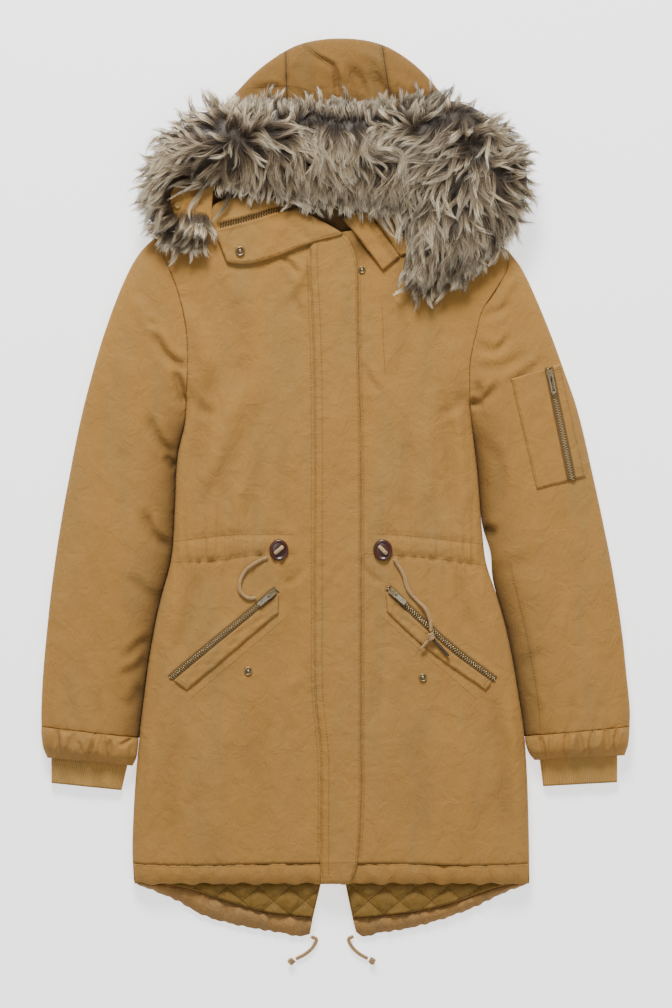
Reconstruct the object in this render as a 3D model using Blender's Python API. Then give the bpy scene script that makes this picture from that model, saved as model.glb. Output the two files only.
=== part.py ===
# Fur trimmed parka, laid flat on its back. Millimetres in the tables, metres in Blender.
# +X is the wearer's left side, +Y runs from the hem to the hood, +Z stands out of the surface.
# "right" and "left" in the names are the wearer's, so "right" pieces have negative x.
import math

import bmesh
import bpy
import numpy as np
from mathutils import Matrix, Vector

MM = 0.001

# ---------------------------------------------------------------- driving sizes, in mm
BACK_TOP = 10.7        # upper face of the padded back
LINING_TOP = 12.7      # upper face of the quilted lining on the back
FRONT_LOW = 13.0       # lower face of the padded front, which lies on the back
FOLD_TOP = 15.0        # where the upper layer's outer skin leaves a fold
FOLD_LOW = 8.0         # where the lower layer's outer skin leaves a fold
PAD_RISE = 12.5        # how far the padding swells above a fold
PAD_REACH = 44.0       # how far from a fold the swell goes on
UNDER_REACH = 12.0     # how far under itself a fold rolls before it meets the surface
GAP = 0.7              # between two pieces at a seam
ON = 0.6               # between a panel and what lies on it
HOOD_RISE = 18.0
FUR_BASE = 36.4
FUR_HEIGHT = 46.0
CORD = 4.6             # diameter of the drawstrings
ZIP_X = 2.0            # where the two fronts meet, under the placket
VENT_TOP = -427.0      # top of the fishtail's slit

# ---------------------------------------------------------------- outlines, in mm
# fold of the body's side below the armpit: y, x
SIDE_RIGHT = [(108, -187), (84, -188), (42, -197), (-27, -201), (-92, -206), (-141, -219), (-201, -231),
              (-266, -240), (-318, -246), (-392, -252), (-466, -254), (-500, -252), (-600, -252)]
SIDE_LEFT = [(104, 168), (84, 170), (14, 178), (-60, 184), (-92, 188), (-130, 200), (-171, 212), (-218, 222),
             (-266, 230), (-307, 236), (-348, 239), (-437, 242), (-500, 243), (-600, 243)]
# armhole seam above the armpit: y, x
ARMHOLE_RIGHT = [(313, -226), (294, -217), (248, -198), (194, -186), (153, -185), (108, -187)]
ARMHOLE_LEFT = [(297, 216), (274, 215), (247, 200), (222, 184), (193, 176), (160, 169), (104, 168)]
# top edge of the front and back panels, from the armhole to the centre: share of the width, y
SHOULDER_RIGHT = [(0, 313), (0.25, 328), (0.5, 341), (0.6, 343)]
SHOULDER_LEFT = [(0, 297), (0.25, 322), (0.5, 340), (0.6, 342)]
FRONT_NECK = [(0.8, 326), (1, 318)]
BACK_NECK = [(0.8, 344), (1, 344)]
# lower edge of the back panels, where the hem casing is sewn on: share of the width, y
TAIL_SEAM_RIGHT = [(0, -492), (0.25, -500), (0.55, -521), (0.7, -530), (1, -538)]
TAIL_SEAM_LEFT = [(0, -492), (0.2, -502), (0.4, -518), (0.6, -529), (0.8, -535), (1, -539)]
# outer line of the tail's casing, from the side to the slit: x, y
TAIL_RIGHT = [(-251, -496), (-219, -509), (-200, -517), (-166, -536), (-129, -547), (-99, -553), (-68, -558),
              (-38, -561.3), (-32, -558)]
TAIL_LEFT = [(242, -496), (211, -508), (169, -528), (133, -541), (83, -554), (55, -558), (30, -561), (26, -557)]
# sleeves, from the armhole down: outer x, outer y, inner y (the inner x keeps clear of the body's side)
SLEEVE_RIGHT = [(-226, 313, 108), (-247, 291, 104), (-266, 255, 96), (-288, 197, 80), (-305, 140, 56),
                (-320, 80, 22), (-334, 9, -26), (-344, -47, -72), (-354, -115, -128), (-361, -178, -188),
                (-366, -234, -246), (-368, -275, -291), (-368, -299, -313)]
SLEEVE_LEFT = [(216, 297, 104), (234, 272, 100), (252, 234, 92), (270, 190, 78), (287, 143, 56), (304, 92, 26),
               (322, 15, -24), (335, -45, -72), (347, -106, -124), (358, -178, -186), (364, -234, -244),
               (368, -275, -290), (368, -299, -311)]
# shoulder line from the neck to the sleeve, x, y
NECK_TO_SLEEVE_RIGHT = [(-95, 345), (-150, 333), (-195, 323)]
NECK_TO_SLEEVE_LEFT = [(95, 344), (150, 327), (190, 311)]
# gathered sleeve ends: outer x, outer y, inner x, inner y, height
BAND_RIGHT = [(-368, -299.8, -246.5, -313.8, 27), (-368, -308, -247, -322, 30), (-366, -324, -249, -337, 29),
              (-361, -338, -254, -348, 19)]
BAND_LEFT = [(368, -299.8, 237, -311.8, 27), (367.5, -308, 238, -320, 30), (366, -322, 242, -332, 29),
             (362, -335, 249, -341, 19)]
# rib knit cuffs: outer x, outer y, inner x, inner y, height
CUFF_RIGHT = [(-356, -339.6, -261, -349.2, 13), (-356, -352, -264, -362, 11), (-356, -370, -268, -379, 10)]
CUFF_LEFT = [(353, -336.9, 256, -342.2, 13), (353, -350, 258, -357, 11), (353, -369, 260, -374, 10)]
# hood's outer fold and its opening edge, from the wearer's right over the top to the left: x, y
HOOD_FOLD = [(-172, 352), (-186, 385), (-176, 430), (-146, 470), (-122, 497), (-104, 516), (-82, 534), (-49, 553),
             (5, 562), (61, 553), (93, 534), (113, 516), (129, 497), (150, 470), (172, 430), (182, 385), (168, 350)]
HOOD_OPENING = [(-161, 352), (-164, 380), (-150, 408), (-112, 424), (-60, 428), (5, 428), (70, 426), (115, 420),
                (148, 404), (160, 380), (157, 350)]
HOOD_NECK = [(-100, 348), (-50, 346), (5, 346), (60, 346), (100, 348)]
# fur: outer and inner line of its reach, from the wearer's right round to the left: x, y
FUR_OUTER = [(-170, 302), (-208, 310), (-230, 332), (-236, 365), (-228, 402), (-200, 440), (-150, 472), (-80, 477),
             (0, 470), (80, 474), (150, 481), (204, 452), (235, 410), (237, 368), (214, 322), (165, 272), (118, 247)]
FUR_INNER = [(-160, 318), (-186, 328), (-202, 344), (-204, 368), (-190, 384), (-165, 384), (-132, 376), (-95, 368),
             (-50, 360), (0, 355), (45, 352), (78, 348), (96, 338), (98, 322), (92, 306), (86, 282), (90, 254)]
# placket over the zip: y, sewn edge x, free edge x
PLACKET = [(300, -33, 14), (292, -33, 22), (280, -33, 27), (240, -31, 28), (160, -28, 29), (85, -27, 31),
           (-140, -27, 32), (-275, -25, 32), (-320, -20, 32), (-410, -19, 31.5), (-440, -19, 30), (-478, -19, 25),
           (-495, -18, 17)]


def follow(table, at, column=1):
    """Smooth value of a table's column at one value of its first column."""
    keys = np.array([row[0] for row in table], float)
    vals = np.array([row[column] for row in table], float)
    if keys[0] > keys[-1]:
        keys, vals = keys[::-1], vals[::-1]
    at = np.clip(at, keys[0], keys[-1])
    k = int(np.clip(np.searchsorted(keys, at) - 1, 0, len(keys) - 2))
    slopes = np.gradient(vals, keys)
    h = keys[k + 1] - keys[k]
    t = (at - keys[k]) / h
    return float((2 * t**3 - 3 * t**2 + 1) * vals[k] + (t**3 - 2 * t**2 + t) * h * slopes[k]
                 + (3 * t**2 - 2 * t**3) * vals[k + 1] + (t**3 - t**2) * h * slopes[k + 1])


def through(points, count, start=0.0, stop=1.0):
    """Evenly spaced points on the smooth curve through hand chosen ones, by length."""
    pts = np.array(points, float)
    if len(pts) == 2:
        t = np.linspace(start, stop, count)[:, None]
        return pts[0] * (1 - t) + pts[1] * t
    step = np.linalg.norm(np.diff(pts, axis=0), axis=1)
    run = np.concatenate([[0], np.cumsum(step)])
    slope = np.gradient(pts, run, axis=0)
    fine = []
    for k in range(len(pts) - 1):
        t = np.linspace(0, 1, 24, endpoint=k == len(pts) - 2)[:, None]
        h = step[k]
        fine.append((2 * t**3 - 3 * t**2 + 1) * pts[k] + (t**3 - 2 * t**2 + t) * h * slope[k]
                    + (3 * t**2 - 2 * t**3) * pts[k + 1] + (t**3 - t**2) * h * slope[k + 1])
    fine = np.concatenate(fine)
    run = np.concatenate([[0], np.cumsum(np.linalg.norm(np.diff(fine, axis=0), axis=1))])
    want = np.linspace(start, stop, count) * run[-1]
    return np.stack([np.interp(want, run, fine[:, c]) for c in range(fine.shape[1])], axis=1)


def to_line(x, y, line):
    """Distance in plan from a point to a line of points."""
    a, b = line[:-1], line[1:]
    d = b - a
    t = np.clip(((x - a[:, 0]) * d[:, 0] + (y - a[:, 1]) * d[:, 1]) / np.maximum((d**2).sum(axis=1), 1e-9), 0, 1)
    return float(np.sqrt(((a + d * t[:, None] - (x, y)) ** 2).sum(axis=1)).min())


def side_line(table, low=-600.0):
    high = table[0][0]
    return np.array([(follow(table, y), y) for y in np.linspace(high, low, 60)])


ACROSS = [0.5 - 0.5 * math.cos(math.pi * k / 10) for k in range(11)]    # points across a sleeve
FOLDS = [through(NECK_TO_SLEEVE_RIGHT + [row[:2] for row in SLEEVE_RIGHT], 80),
         through(NECK_TO_SLEEVE_LEFT + [row[:2] for row in SLEEVE_LEFT], 80),
         side_line(SIDE_RIGHT), side_line(SIDE_LEFT)]
HOOD_LINE = through(HOOD_FOLD, 90)


def swell(distance, reach):
    t = min(max(distance / reach, 0.0), 1.0)
    return (1 - (1 - t) ** 2.3) ** (1 / 2.3)


def to_fold(x, y):
    return min(to_line(x, y, line) for line in FOLDS)


def top(x, y):
    """Outer skin of the front and of the sleeves' upper side."""
    return FOLD_TOP + PAD_RISE * swell(to_fold(x, y), PAD_REACH)


def under(x, y):
    """Outer skin of the back and of the sleeves' under side: flat on the surface, rolled up at the folds."""
    return FOLD_LOW * (1 - swell(to_fold(x, y), UNDER_REACH))


def hood_top(x, y):
    return FOLD_TOP + HOOD_RISE * swell(to_line(x, y, HOOD_LINE), 52.0)


def hood_under(x, y):
    return FOLD_LOW * (1 - swell(to_line(x, y, HOOD_LINE), UNDER_REACH))


# ---------------------------------------------------------------- materials
def material(name, colour, roughness, metallic=0.0):
    mat = bpy.data.materials.new(name)
    mat.use_nodes = True
    shader = mat.node_tree.nodes["Principled BSDF"]
    shader.inputs["Base Color"].default_value = (*colour, 1.0)
    shader.inputs["Roughness"].default_value = roughness
    shader.inputs["Metallic"].default_value = metallic
    return mat


for old in list(bpy.data.objects):
    bpy.data.objects.remove(old, do_unlink=True)
coat = bpy.data.collections.new("fur_trimmed_parka")
guides = bpy.data.collections.new("cutters")
bpy.context.scene.collection.children.link(coat)
bpy.context.scene.collection.children.link(guides)

SHELL = (0.39, 0.225, 0.075)
COLOURS = {"shell": (SHELL, 0.75, 0), "lining": ((0.30, 0.19, 0.05), 0.45, 0), "knit": ((0.36, 0.18, 0.06), 0.9, 0),
           "fur": ((0.42, 0.36, 0.29), 0.9, 0), "brass": ((0.33, 0.27, 0.17), 0.4, 1),
           "button": ((0.05, 0.008, 0.012), 0.3, 0), "cord": ((0.38, 0.23, 0.09), 0.85, 0)}


def add(name, mesh, slot):
    colour, rough, metal = COLOURS[slot]
    mesh.materials.append(material(name, colour, rough, metal))
    ob = bpy.data.objects.new(name, mesh)
    coat.objects.link(ob)
    return ob


def finish_mesh(name, bm, slot, smooth=True):
    bmesh.ops.recalc_face_normals(bm, faces=bm.faces)
    mesh = bpy.data.meshes.new(name)
    bm.to_mesh(mesh)
    bm.free()
    ob = add(name, mesh, slot)
    if smooth:
        mesh.shade_smooth()
        mesh.set_sharp_from_angle(angle=math.radians(40))
    return ob


# ---------------------------------------------------------------- cloth
def cloth(name, plan, low, high, slot="shell"):
    """A padded panel: a grid of plan points, with its lower and upper face as heights."""
    rows, cols = len(plan), len(plan[0])
    bm = bmesh.new()
    up, down = [], []
    for i in range(rows):
        up.append([])
        down.append([])
        for j in range(cols):
            x, y = plan[i][j]
            s, t = i / (rows - 1), j / (cols - 1)
            z1 = high(x, y, s, t) if callable(high) else high
            z0 = low(x, y, s, t) if callable(low) else low
            up[i].append(bm.verts.new((x * MM, y * MM, z1 * MM)))
            down[i].append(bm.verts.new((x * MM, y * MM, z0 * MM)))
    for i in range(rows - 1):
        for j in range(cols - 1):
            bm.faces.new((up[i][j], up[i][j + 1], up[i + 1][j + 1], up[i + 1][j]))
            bm.faces.new((down[i][j], down[i + 1][j], down[i + 1][j + 1], down[i][j + 1]))
    rim = ([(0, j) for j in range(cols - 1)] + [(i, cols - 1) for i in range(rows - 1)]
           + [(rows - 1, j) for j in range(cols - 1, 0, -1)] + [(i, 0) for i in range(rows - 1, 0, -1)])
    for (i, j), (k, m) in zip(rim, rim[1:] + rim[:1]):
        bm.faces.new((up[i][j], down[i][j], down[k][m], up[k][m]))
    return finish_mesh(name, bm, slot)


def between(edge_a, edge_b, rows, cols):
    """Plan grid from one edge curve to another, both smooth curves through hand chosen points."""
    a, b = through(edge_a, cols), through(edge_b, cols)
    return [[tuple(a[j] * (1 - i / (rows - 1)) + b[j] * i / (rows - 1)) for j in range(cols)] for i in range(rows)]


def body_plan(side, armhole, upper, lower, centre, rows, cols, inset=GAP / 2):
    """Plan grid of a body panel: rows from the shoulder to the hem, columns from the side to the centre."""
    sign = -1 if side[0][1] < 0 else 1
    y_top, y_low = follow(upper, 0), follow(lower, 0)
    shares = [i / (rows - 1) for i in range(rows)]
    if y_top > armhole[-1][0]:
        # the rows down the armhole are the sleeve's own points
        pit = (y_top - armhole[-1][0]) / (y_top - y_low)
        shares = [s * pit for s in ACROSS] + [pit + (1 - pit) * i / rows for i in range(1, rows + 1)]
    plan = []
    for v in shares:
        row = []
        for j in range(cols):
            u = 0.65 * (0.5 - 0.5 * math.cos(math.pi * j / (cols - 1))) + 0.35 * j / (cols - 1)
            y = follow(upper, u) * (1 - v) + follow(lower, u) * v
            x0 = follow(armhole if y > armhole[-1][0] else side, y) - sign * inset
            row.append((x0 * (1 - u) + centre(y) * u, y))
        plan.append(row)
    return plan


FRONT_SEAM = [(0, -470), (0.3, -472), (0.6, -470), (1, -469)]
COLS, ROWS = 11, 17
for side, hole, shoulder, word, sign in ((SIDE_RIGHT, ARMHOLE_RIGHT, SHOULDER_RIGHT, "right", -1),
                                         (SIDE_LEFT, ARMHOLE_LEFT, SHOULDER_LEFT, "left", 1)):
    cloth("front_" + word, body_plan(side, hole, shoulder + FRONT_NECK, FRONT_SEAM,
                                     lambda y, s=sign: ZIP_X + s * GAP / 2, ROWS, COLS),
          FRONT_LOW, lambda x, y, s, t: top(x, y))

    def hem_top(x, y, s, t):
        return FRONT_LOW + (min(top(x, y), 25.5) - FRONT_LOW) * (1 - 0.72 * max(0.0, s - 0.1) ** 2.2)

    hem_y = [follow(FRONT_SEAM, u) - GAP for u in np.linspace(0, 1, 12)]
    edge_y = [-494, -495, -494.5, -496, -495, -494.5, -495.5, -495, -494, -495, -496, -494.5]
    seam = [(follow(side, y) - sign * 0.35 + (ZIP_X + sign * GAP / 2 - follow(side, y) + sign * 0.35) * k / 11, y)
            for k, y in enumerate(hem_y)]
    edge = [(follow(side, y) - sign * 2.0 + (ZIP_X + sign * GAP / 2 - follow(side, y) + sign * 2.0) * k / 11, y)
            for k, y in enumerate(edge_y)]
    cloth("hem_front_" + word, [[tuple(np.array(a) * (1 - s) + np.array(b) * s) for a, b in zip(seam, edge)]
                                for s in (0, 0.35, 0.7, 1.0)], FRONT_LOW, hem_top)


def slit(sign):
    """Centre edge of a back panel: a seam down to the fishtail's slit, which spreads below it."""
    spread = 0.236 if sign < 0 else 0.208

    def edge(y):
        return -2.0 + sign * (GAP / 2 + spread * max(0.0, VENT_TOP - y))
    return edge


for side, hole, shoulder, seam, tail, word, sign in (
        (SIDE_RIGHT, ARMHOLE_RIGHT, SHOULDER_RIGHT, TAIL_SEAM_RIGHT, TAIL_RIGHT, "right", -1),
        (SIDE_LEFT, ARMHOLE_LEFT, SHOULDER_LEFT, TAIL_SEAM_LEFT, TAIL_LEFT, "left", 1)):
    plan = body_plan(side, hole, shoulder + BACK_NECK, seam, slit(sign), 13, 9)
    cloth("back_" + word, plan, lambda x, y, s, t: under(x, y), BACK_TOP)
    upper = [(x, y - GAP) for x, y in plan[-1]]
    cloth("hem_back_" + word, [[tuple(np.array(a) * (1 - s) + np.array(b) * s)
                                for a, b in zip(through(upper, 13), through(tail, 13))] for s in (0, 0.3, 0.7, 1)],
          lambda x, y, s, t: 4.0 * max(0.0, s - 0.5), lambda x, y, s, t: 11.5 - 6.0 * s**3)
    lining_top = [(0, -392), (1, -392)]
    lining_low = [(u, y + 0.4) for u, y in seam]
    inner = [(y, x + (6.0 if sign < 0 else -6.0)) for y, x in side]
    cloth("lining_" + word, body_plan(inner, [(1e4, 0), (9e3, 0)], lining_top, lining_low,
                                      lambda y, e=slit(sign), s=sign: e(y) + s * 1.5, 7, 9),
          BACK_TOP + 0.3, LINING_TOP, "lining")


# ---------------------------------------------------------------- sleeves
def tube(name, rings, slot="shell"):
    """A flattened sleeve: each ring is its outer loop and its inner loop of (x, y, z)."""
    bm = bmesh.new()
    outs = [[bm.verts.new(Vector(p) * MM) for p in ring[0]] for ring in rings]
    ins = [[bm.verts.new(Vector(p) * MM) for p in ring[1]] for ring in rings]
    count = len(outs[0])
    for k in range(len(rings) - 1):
        for i in range(count):
            j = (i + 1) % count
            bm.faces.new((outs[k][i], outs[k][j], outs[k + 1][j], outs[k + 1][i]))
            bm.faces.new((ins[k][i], ins[k + 1][i], ins[k + 1][j], ins[k][j]))
    for a, b in ((outs[0], ins[0]), (outs[-1], ins[-1])):
        for i in range(count):
            j = (i + 1) % count
            bm.faces.new((a[i], b[i], b[j], a[j]))
    return finish_mesh(name, bm, slot)


def ring(line, high, low, wall, middle, slit_half):
    """A loop over the upper skin and back under the lower one, and the slit inside it."""
    over = [(x, y, high(x, y, s)) for (x, y), s in zip(line, ACROSS)]
    back = [(x, y, low(x, y, s)) for (x, y), s in zip(line, ACROSS)]
    a, b = np.array(line[0]), np.array(line[-1])
    width = float(np.linalg.norm(b - a))
    inset = wall / width
    inner = []
    for s in ACROSS:
        t = inset + s * (1 - 2 * inset)
        k = min(int(np.searchsorted(ACROSS, t, side="right")) - 1, len(ACROSS) - 2)
        f = (t - ACROSS[k]) / (ACROSS[k + 1] - ACROSS[k])
        inner.append(np.array(line[k]) * (1 - f) + np.array(line[k + 1]) * f)
    up = [(p[0], p[1], middle + slit_half) for p in inner]
    down = [(p[0], p[1], middle - slit_half) for p in inner]
    return over + back[::-1], up + down[::-1]


for table, hole, side, word, sign in ((SLEEVE_RIGHT, ARMHOLE_RIGHT, SIDE_RIGHT, "right", -1),
                                      (SLEEVE_LEFT, ARMHOLE_LEFT, SIDE_LEFT, "left", 1)):
    rings = []
    y_top, y_pit = hole[0][0], hole[-1][0]
    for k, (ox, oy, iy) in enumerate(table):
        ix = follow(side, min(iy, y_pit)) + sign * (1.8 if k else GAP / 2)
        if word == "left":
            ix += 8.0 * math.exp(-((iy + 84) / 26) ** 2)
        # the first rings keep the armhole's curve, and the rest straighten out
        keep = max(0.0, 1 - k / 4.0) ** 1.5
        line = []
        for s in ACROSS:
            x, y = ox * (1 - s) + ix * s, oy * (1 - s) + iy * s
            hy = y_top * (1 - s) + y_pit * s
            bow = follow(hole, hy) + sign * GAP / 2 - (hole[0][1] * (1 - s) + (hole[-1][1] + sign * GAP / 2) * s)
            line.append((x + bow * keep, y))
        outer, inner = ring(line, lambda x, y, s: top(x, y), lambda x, y, s: under(x, y), 9.0, 11.8, 0.7)
        if k == 0:
            inner = [(x + sign * 3.0, y, z) for x, y, z in inner]
        rings.append((outer, inner))
    tube("sleeve_" + word, rings)


def end_ring(row, wall, lift=0.0):
    ox, oy, ix, iy, height = row
    line = [(ox * (1 - s) + ix * s, oy * (1 - s) + iy * s) for s in ACROSS]
    width = math.hypot(ox - ix, oy - iy)
    reach = min(30.0, height * 1.2)

    def high(x, y, s):
        return height * 0.55 + lift + height * 0.45 * swell(min(s, 1 - s) * width, reach)

    def low(x, y, s):
        return lift + height * 0.32 * (1 - swell(min(s, 1 - s) * width, 10.0))
    return ring(line, high, low, wall, height * 0.44 + lift, 0.6)


def between_rows(table, count):
    rows = []
    for k in np.linspace(0, len(table) - 1, count):
        i = min(int(k), len(table) - 2)
        f = k - i
        rows.append(tuple(a * (1 - f) + b * f for a, b in zip(table[i], table[i + 1])))
    return rows


for band, cuff, word in ((BAND_RIGHT, CUFF_RIGHT, "right"), (BAND_LEFT, CUFF_LEFT, "left")):
    tube("sleeve_band_" + word, [end_ring(row, 8.0) for row in band])
    tube("cuff_" + word, [end_ring(row, 4.0) for row in cuff], "knit")

# ---------------------------------------------------------------- hood
def part_of(points, start, stop, count):
    return [tuple(p) for p in through(points, count, start, stop)]


def hood_piece(name, start, stop, cols):
    a, b = part_of(HOOD_FOLD, start, stop, cols), part_of(HOOD_OPENING, start, stop, cols)
    shift = [np.array(q) - np.array(p) for p, q in zip(a, b)]
    plan = [[tuple(np.array(p) + d * s) for p, d in zip(a, shift)] for s in (0, 0.06, 0.18, 0.4, 0.7, 1.0)]
    cloth(name, plan, FRONT_LOW, lambda x, y, s, t: hood_top(x, y))


SEAM_GAP = 0.0009
hood_piece("hood_side_right", 0.0, 0.405 - SEAM_GAP, 13)
hood_piece("hood_centre", 0.405 + SEAM_GAP, 0.595 - SEAM_GAP, 9)
hood_piece("hood_side_left", 0.595 + SEAM_GAP, 1.0, 13)
a, b = through(HOOD_FOLD, 25), through(HOOD_NECK, 25)
cloth("hood_back", [[tuple(p * (1 - s) + q * s) for p, q in zip(a, b)] for s in (0, 0.05, 0.15, 0.45, 1.0)],
      lambda x, y, s, t: hood_under(x, y), 12.0)

# lower front corner of the hood, turned up so its facing shows
cloth("hood_corner_right", between([(-206, 348), (-205, 372), (-196, 392), (-178, 402)],
                                   [(-163, 330), (-156, 352), (-154, 376), (-158, 396)], 5, 7),
      33.6, 35.8, "lining")


def fur_solid(name, start, stop, cols):
    a, b = part_of(FUR_OUTER, start, stop, cols), part_of(FUR_INNER, start, stop, cols)
    shares = [0, 0.05, 0.2, 0.5, 0.8, 0.95, 1]
    plan = [[tuple(np.array(p) * (1 - s) + np.array(q) * s) for p, q in zip(a, b)] for s in shares]

    def high(x, y, s, t):
        share = shares[int(round(s * (len(shares) - 1)))]
        ends = min(1.0, 0.45 + 6 * min(t, 1 - t))
        return FUR_BASE + 3 + (FUR_HEIGHT - 3) * math.sin(math.pi * share) ** 0.55 * ends
    return cloth(name, plan, FUR_BASE, high, "fur")


fur_solid("fur_trim", 0.0, 1.0, 30)

# ---------------------------------------------------------------- collar
def lift(start, rise=0.0):
    return lambda x, y, s, t: top(x, y) + start + rise * math.sin(math.pi * min(max(s, 0), 1))


cloth("collar_right", between([(-157, 336), (-141, 357), (-99, 366), (-38, 344), (8, 316)],
                              [(-136, 281), (-112, 278), (-72, 288), (-30, 303), (4, 308)], 6, 11),
      28.9, lambda x, y, s, t: 32.2 + 2.6 * math.sin(math.pi * min(max(s, 0.07), 0.93)))
cloth("collar_left", between([(11, 333), (36, 301), (59, 270)], [(33, 352), (58, 320), (80, 288)], 4, 6),
      28.9, lambda x, y, s, t: 31.8 + 1.6 * math.sin(math.pi * min(max(s, 0.1), 0.9)))
cloth("collar_facing_left", between([(34.5, 353), (59.3, 320.8), (81.2, 288.6)], [(88, 352), (104, 326), (112, 300)],
                                    4, 6), 28.9, 31.0, "lining")


def strip(name, points, width, low, high, count, slot):
    """A flat strip of even width along a line."""
    line = through(points, count)
    along = np.gradient(line, axis=0)
    along /= np.linalg.norm(along, axis=1)[:, None]
    side = np.stack([-along[:, 1], along[:, 0]], axis=1) * width / 2
    plan = [[tuple(p) for p in line + side * k] for k in (-1, 1)]
    return cloth(name, plan, low, high, slot)


strip("collar_zip", [(-143, 327), (-98, 339), (-54, 349)], 9.0, 35.0, 36.0, 6, "shell")

# ---------------------------------------------------------------- placket
rows = 26
plan = []
for k in range(rows):
    y = PLACKET[0][0] + (PLACKET[-1][0] - PLACKET[0][0]) * (k / (rows - 1)) ** 1.0
    a, b = follow(PLACKET, y, 1), follow(PLACKET, y, 2)
    plan.append([(a + (b - a) * s, y + (3.0 if k == 0 and s == 0.5 else 0.0)) for s in (0, 0.5, 1)])
cloth("placket", plan, lambda x, y, s, t: max(top(x, y), 27.0) + ON, lambda x, y, s, t: max(top(x, y), 27.0) + ON + 2.6)

# ---------------------------------------------------------------- pockets, zips
POCKETS = {"right": [(-73, -127), (-108, -157), (-158, -198), (-206, -238)],
           "left": [(65, -125), (98, -157), (148, -202), (199, -240)]}
LOWER = {"right": [(-71, -157), (-88, -171), (-136, -212), (-186, -254)],
         "left": [(64, -155), (80, -171), (110, -198), (188, -254)]}


def shifted(points, normal, by):
    return [(p[0] + normal[0] * by, p[1] + normal[1] * by) for p in points]


def on_top(above):
    return lambda x, y, s, t: top(x, y) + above


def bar(name, size, place, slot):
    bm = bmesh.new()
    bmesh.ops.create_cube(bm, size=1.0)
    bmesh.ops.scale(bm, vec=Vector(size) * MM, verts=bm.verts)
    bmesh.ops.bevel(bm, geom=bm.edges[:], offset=min(size) * 0.22 * MM, segments=2, affect="EDGES", clamp_overlap=True)
    bmesh.ops.transform(bm, matrix=place, verts=bm.verts)
    return finish_mesh(name, bm, slot)


def plate(name, outline, hole, thickness, place, slot):
    """A flat plate with one hole, from two plan outlines in mm."""
    curve = bpy.data.curves.new(name, "CURVE")
    curve.dimensions = "2D"
    curve.fill_mode = "BOTH"
    curve.extrude = thickness * MM / 2
    for points in (outline, hole):
        if points:
            spline = curve.splines.new("POLY")
            spline.points.add(len(points) - 1)
            for p, (x, y) in zip(spline.points, points):
                p.co = (x * MM, y * MM, 0, 1)
            spline.use_cyclic_u = True
    holder = bpy.data.objects.new(name + "_outline", curve)
    guides.objects.link(holder)
    bpy.context.view_layer.update()
    mesh = bpy.data.meshes.new_from_object(holder.evaluated_get(bpy.context.evaluated_depsgraph_get()))
    bpy.data.objects.remove(holder)
    bm = bmesh.new()
    bm.from_mesh(mesh)
    bmesh.ops.remove_doubles(bm, verts=bm.verts, dist=0.00001)
    bmesh.ops.transform(bm, matrix=place, verts=bm.verts)
    return finish_mesh(name, bm, slot, smooth=False)


def frame_at(x, y, z, direction):
    """Axes with X along a plan direction and Z up, at a point in mm."""
    d = Vector((direction[0], direction[1], 0)).normalized()
    place = Matrix.Identity(4)
    place.col[0][:3] = d
    place.col[1][:3] = Vector((0, 0, 1)).cross(d)
    place.col[2][:3] = (0, 0, 1)
    place.translation = Vector((x, y, z)) * MM
    return place


def slider(word, x, y, z, direction, length=12.0, pull_length=17.0, ring_pull=False):
    """A zip slider with a bail, and its pull tab on a hinge that crosses the zip."""
    body = bar(word + "_slider", (length, 7.6, 3.2), frame_at(x, y, z + 1.6, direction), "brass")
    half = length / 2 - 1.2
    arch = [(-half, -0.6), (half, -0.6), (half, 2.6), (half - 1.0, 3.9), (-half + 1.0, 3.9), (-half, 2.6)]
    window = [(-half + 1.3, 0.5), (half - 1.3, 0.5), (half - 1.3, 2.3), (half - 1.8, 2.8), (-half + 1.8, 2.8),
              (-half + 1.3, 2.3)]
    place = frame_at(x, y, z + 3.2, direction)
    stand = place @ Matrix.Rotation(math.radians(90), 4, "X")
    bail = plate(word + "_bail", arch, window[::-1], 1.6, stand, "brass")
    bail.hide_render = True
    bail.display_type = "WIRE"
    coat.objects.unlink(bail)
    guides.objects.link(bail)
    join = body.modifiers.new("bail", "BOOLEAN")
    join.operation = "UNION"
    join.solver = "EXACT"
    join.object = bail
    # the tab's head goes through the bail at its far end, and the hinge axis is the head's bar
    head = half - 2.3
    outline = [(-0.6, -2.4), (-0.6, 2.4), (3.2, 3.2), (6.0, 3.0), (pull_length, 3.0), (pull_length + 1.2, 1.8),
               (pull_length + 1.2, -1.8), (pull_length, -3.0), (6.0, -3.0), (3.2, -3.2)]
    hole = [(0.6, -1.5), (3.6, -1.7), (3.6, 1.7), (0.6, 1.5)]
    if ring_pull:
        hole = [(0.6, -1.5), (pull_length - 1.0, -1.7), (pull_length - 1.0, 1.7), (0.6, 1.5)]
    base = frame_at(x, y, z + 3.2 + 1.65, direction)
    pivot = base @ Matrix.Translation(Vector((head, 0, 0)) * MM)
    plate(word + "_pull", outline, hole, 1.0, pivot, "brass")
    return pivot.translation


HINGES = {}
for word, sign in (("right", -1), ("left", 1)):
    line = POCKETS[word]
    d = np.array(line[-1], float) - np.array(line[0], float)
    d /= np.linalg.norm(d)
    down = np.array([-d[1], d[0]]) * (1 if sign < 0 else -1)
    if down[1] > 0:
        down = -down
    strip("pocket_zip_" + word, [line[0], line[1], line[2], line[3]], 7.5, on_top(ON), on_top(ON + 1.8), 9, "brass")
    upper = shifted(line, down, 4.6)
    cloth("pocket_welt_" + word, between(upper, LOWER[word], 3, 8), on_top(ON), on_top(ON + 3.0))
    x, y = np.array(line[0], float) + d * 9
    HINGES[word] = slider("pocket_" + word, x, y, top(x, y) + ON + 1.8 + 0.4, d)

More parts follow.
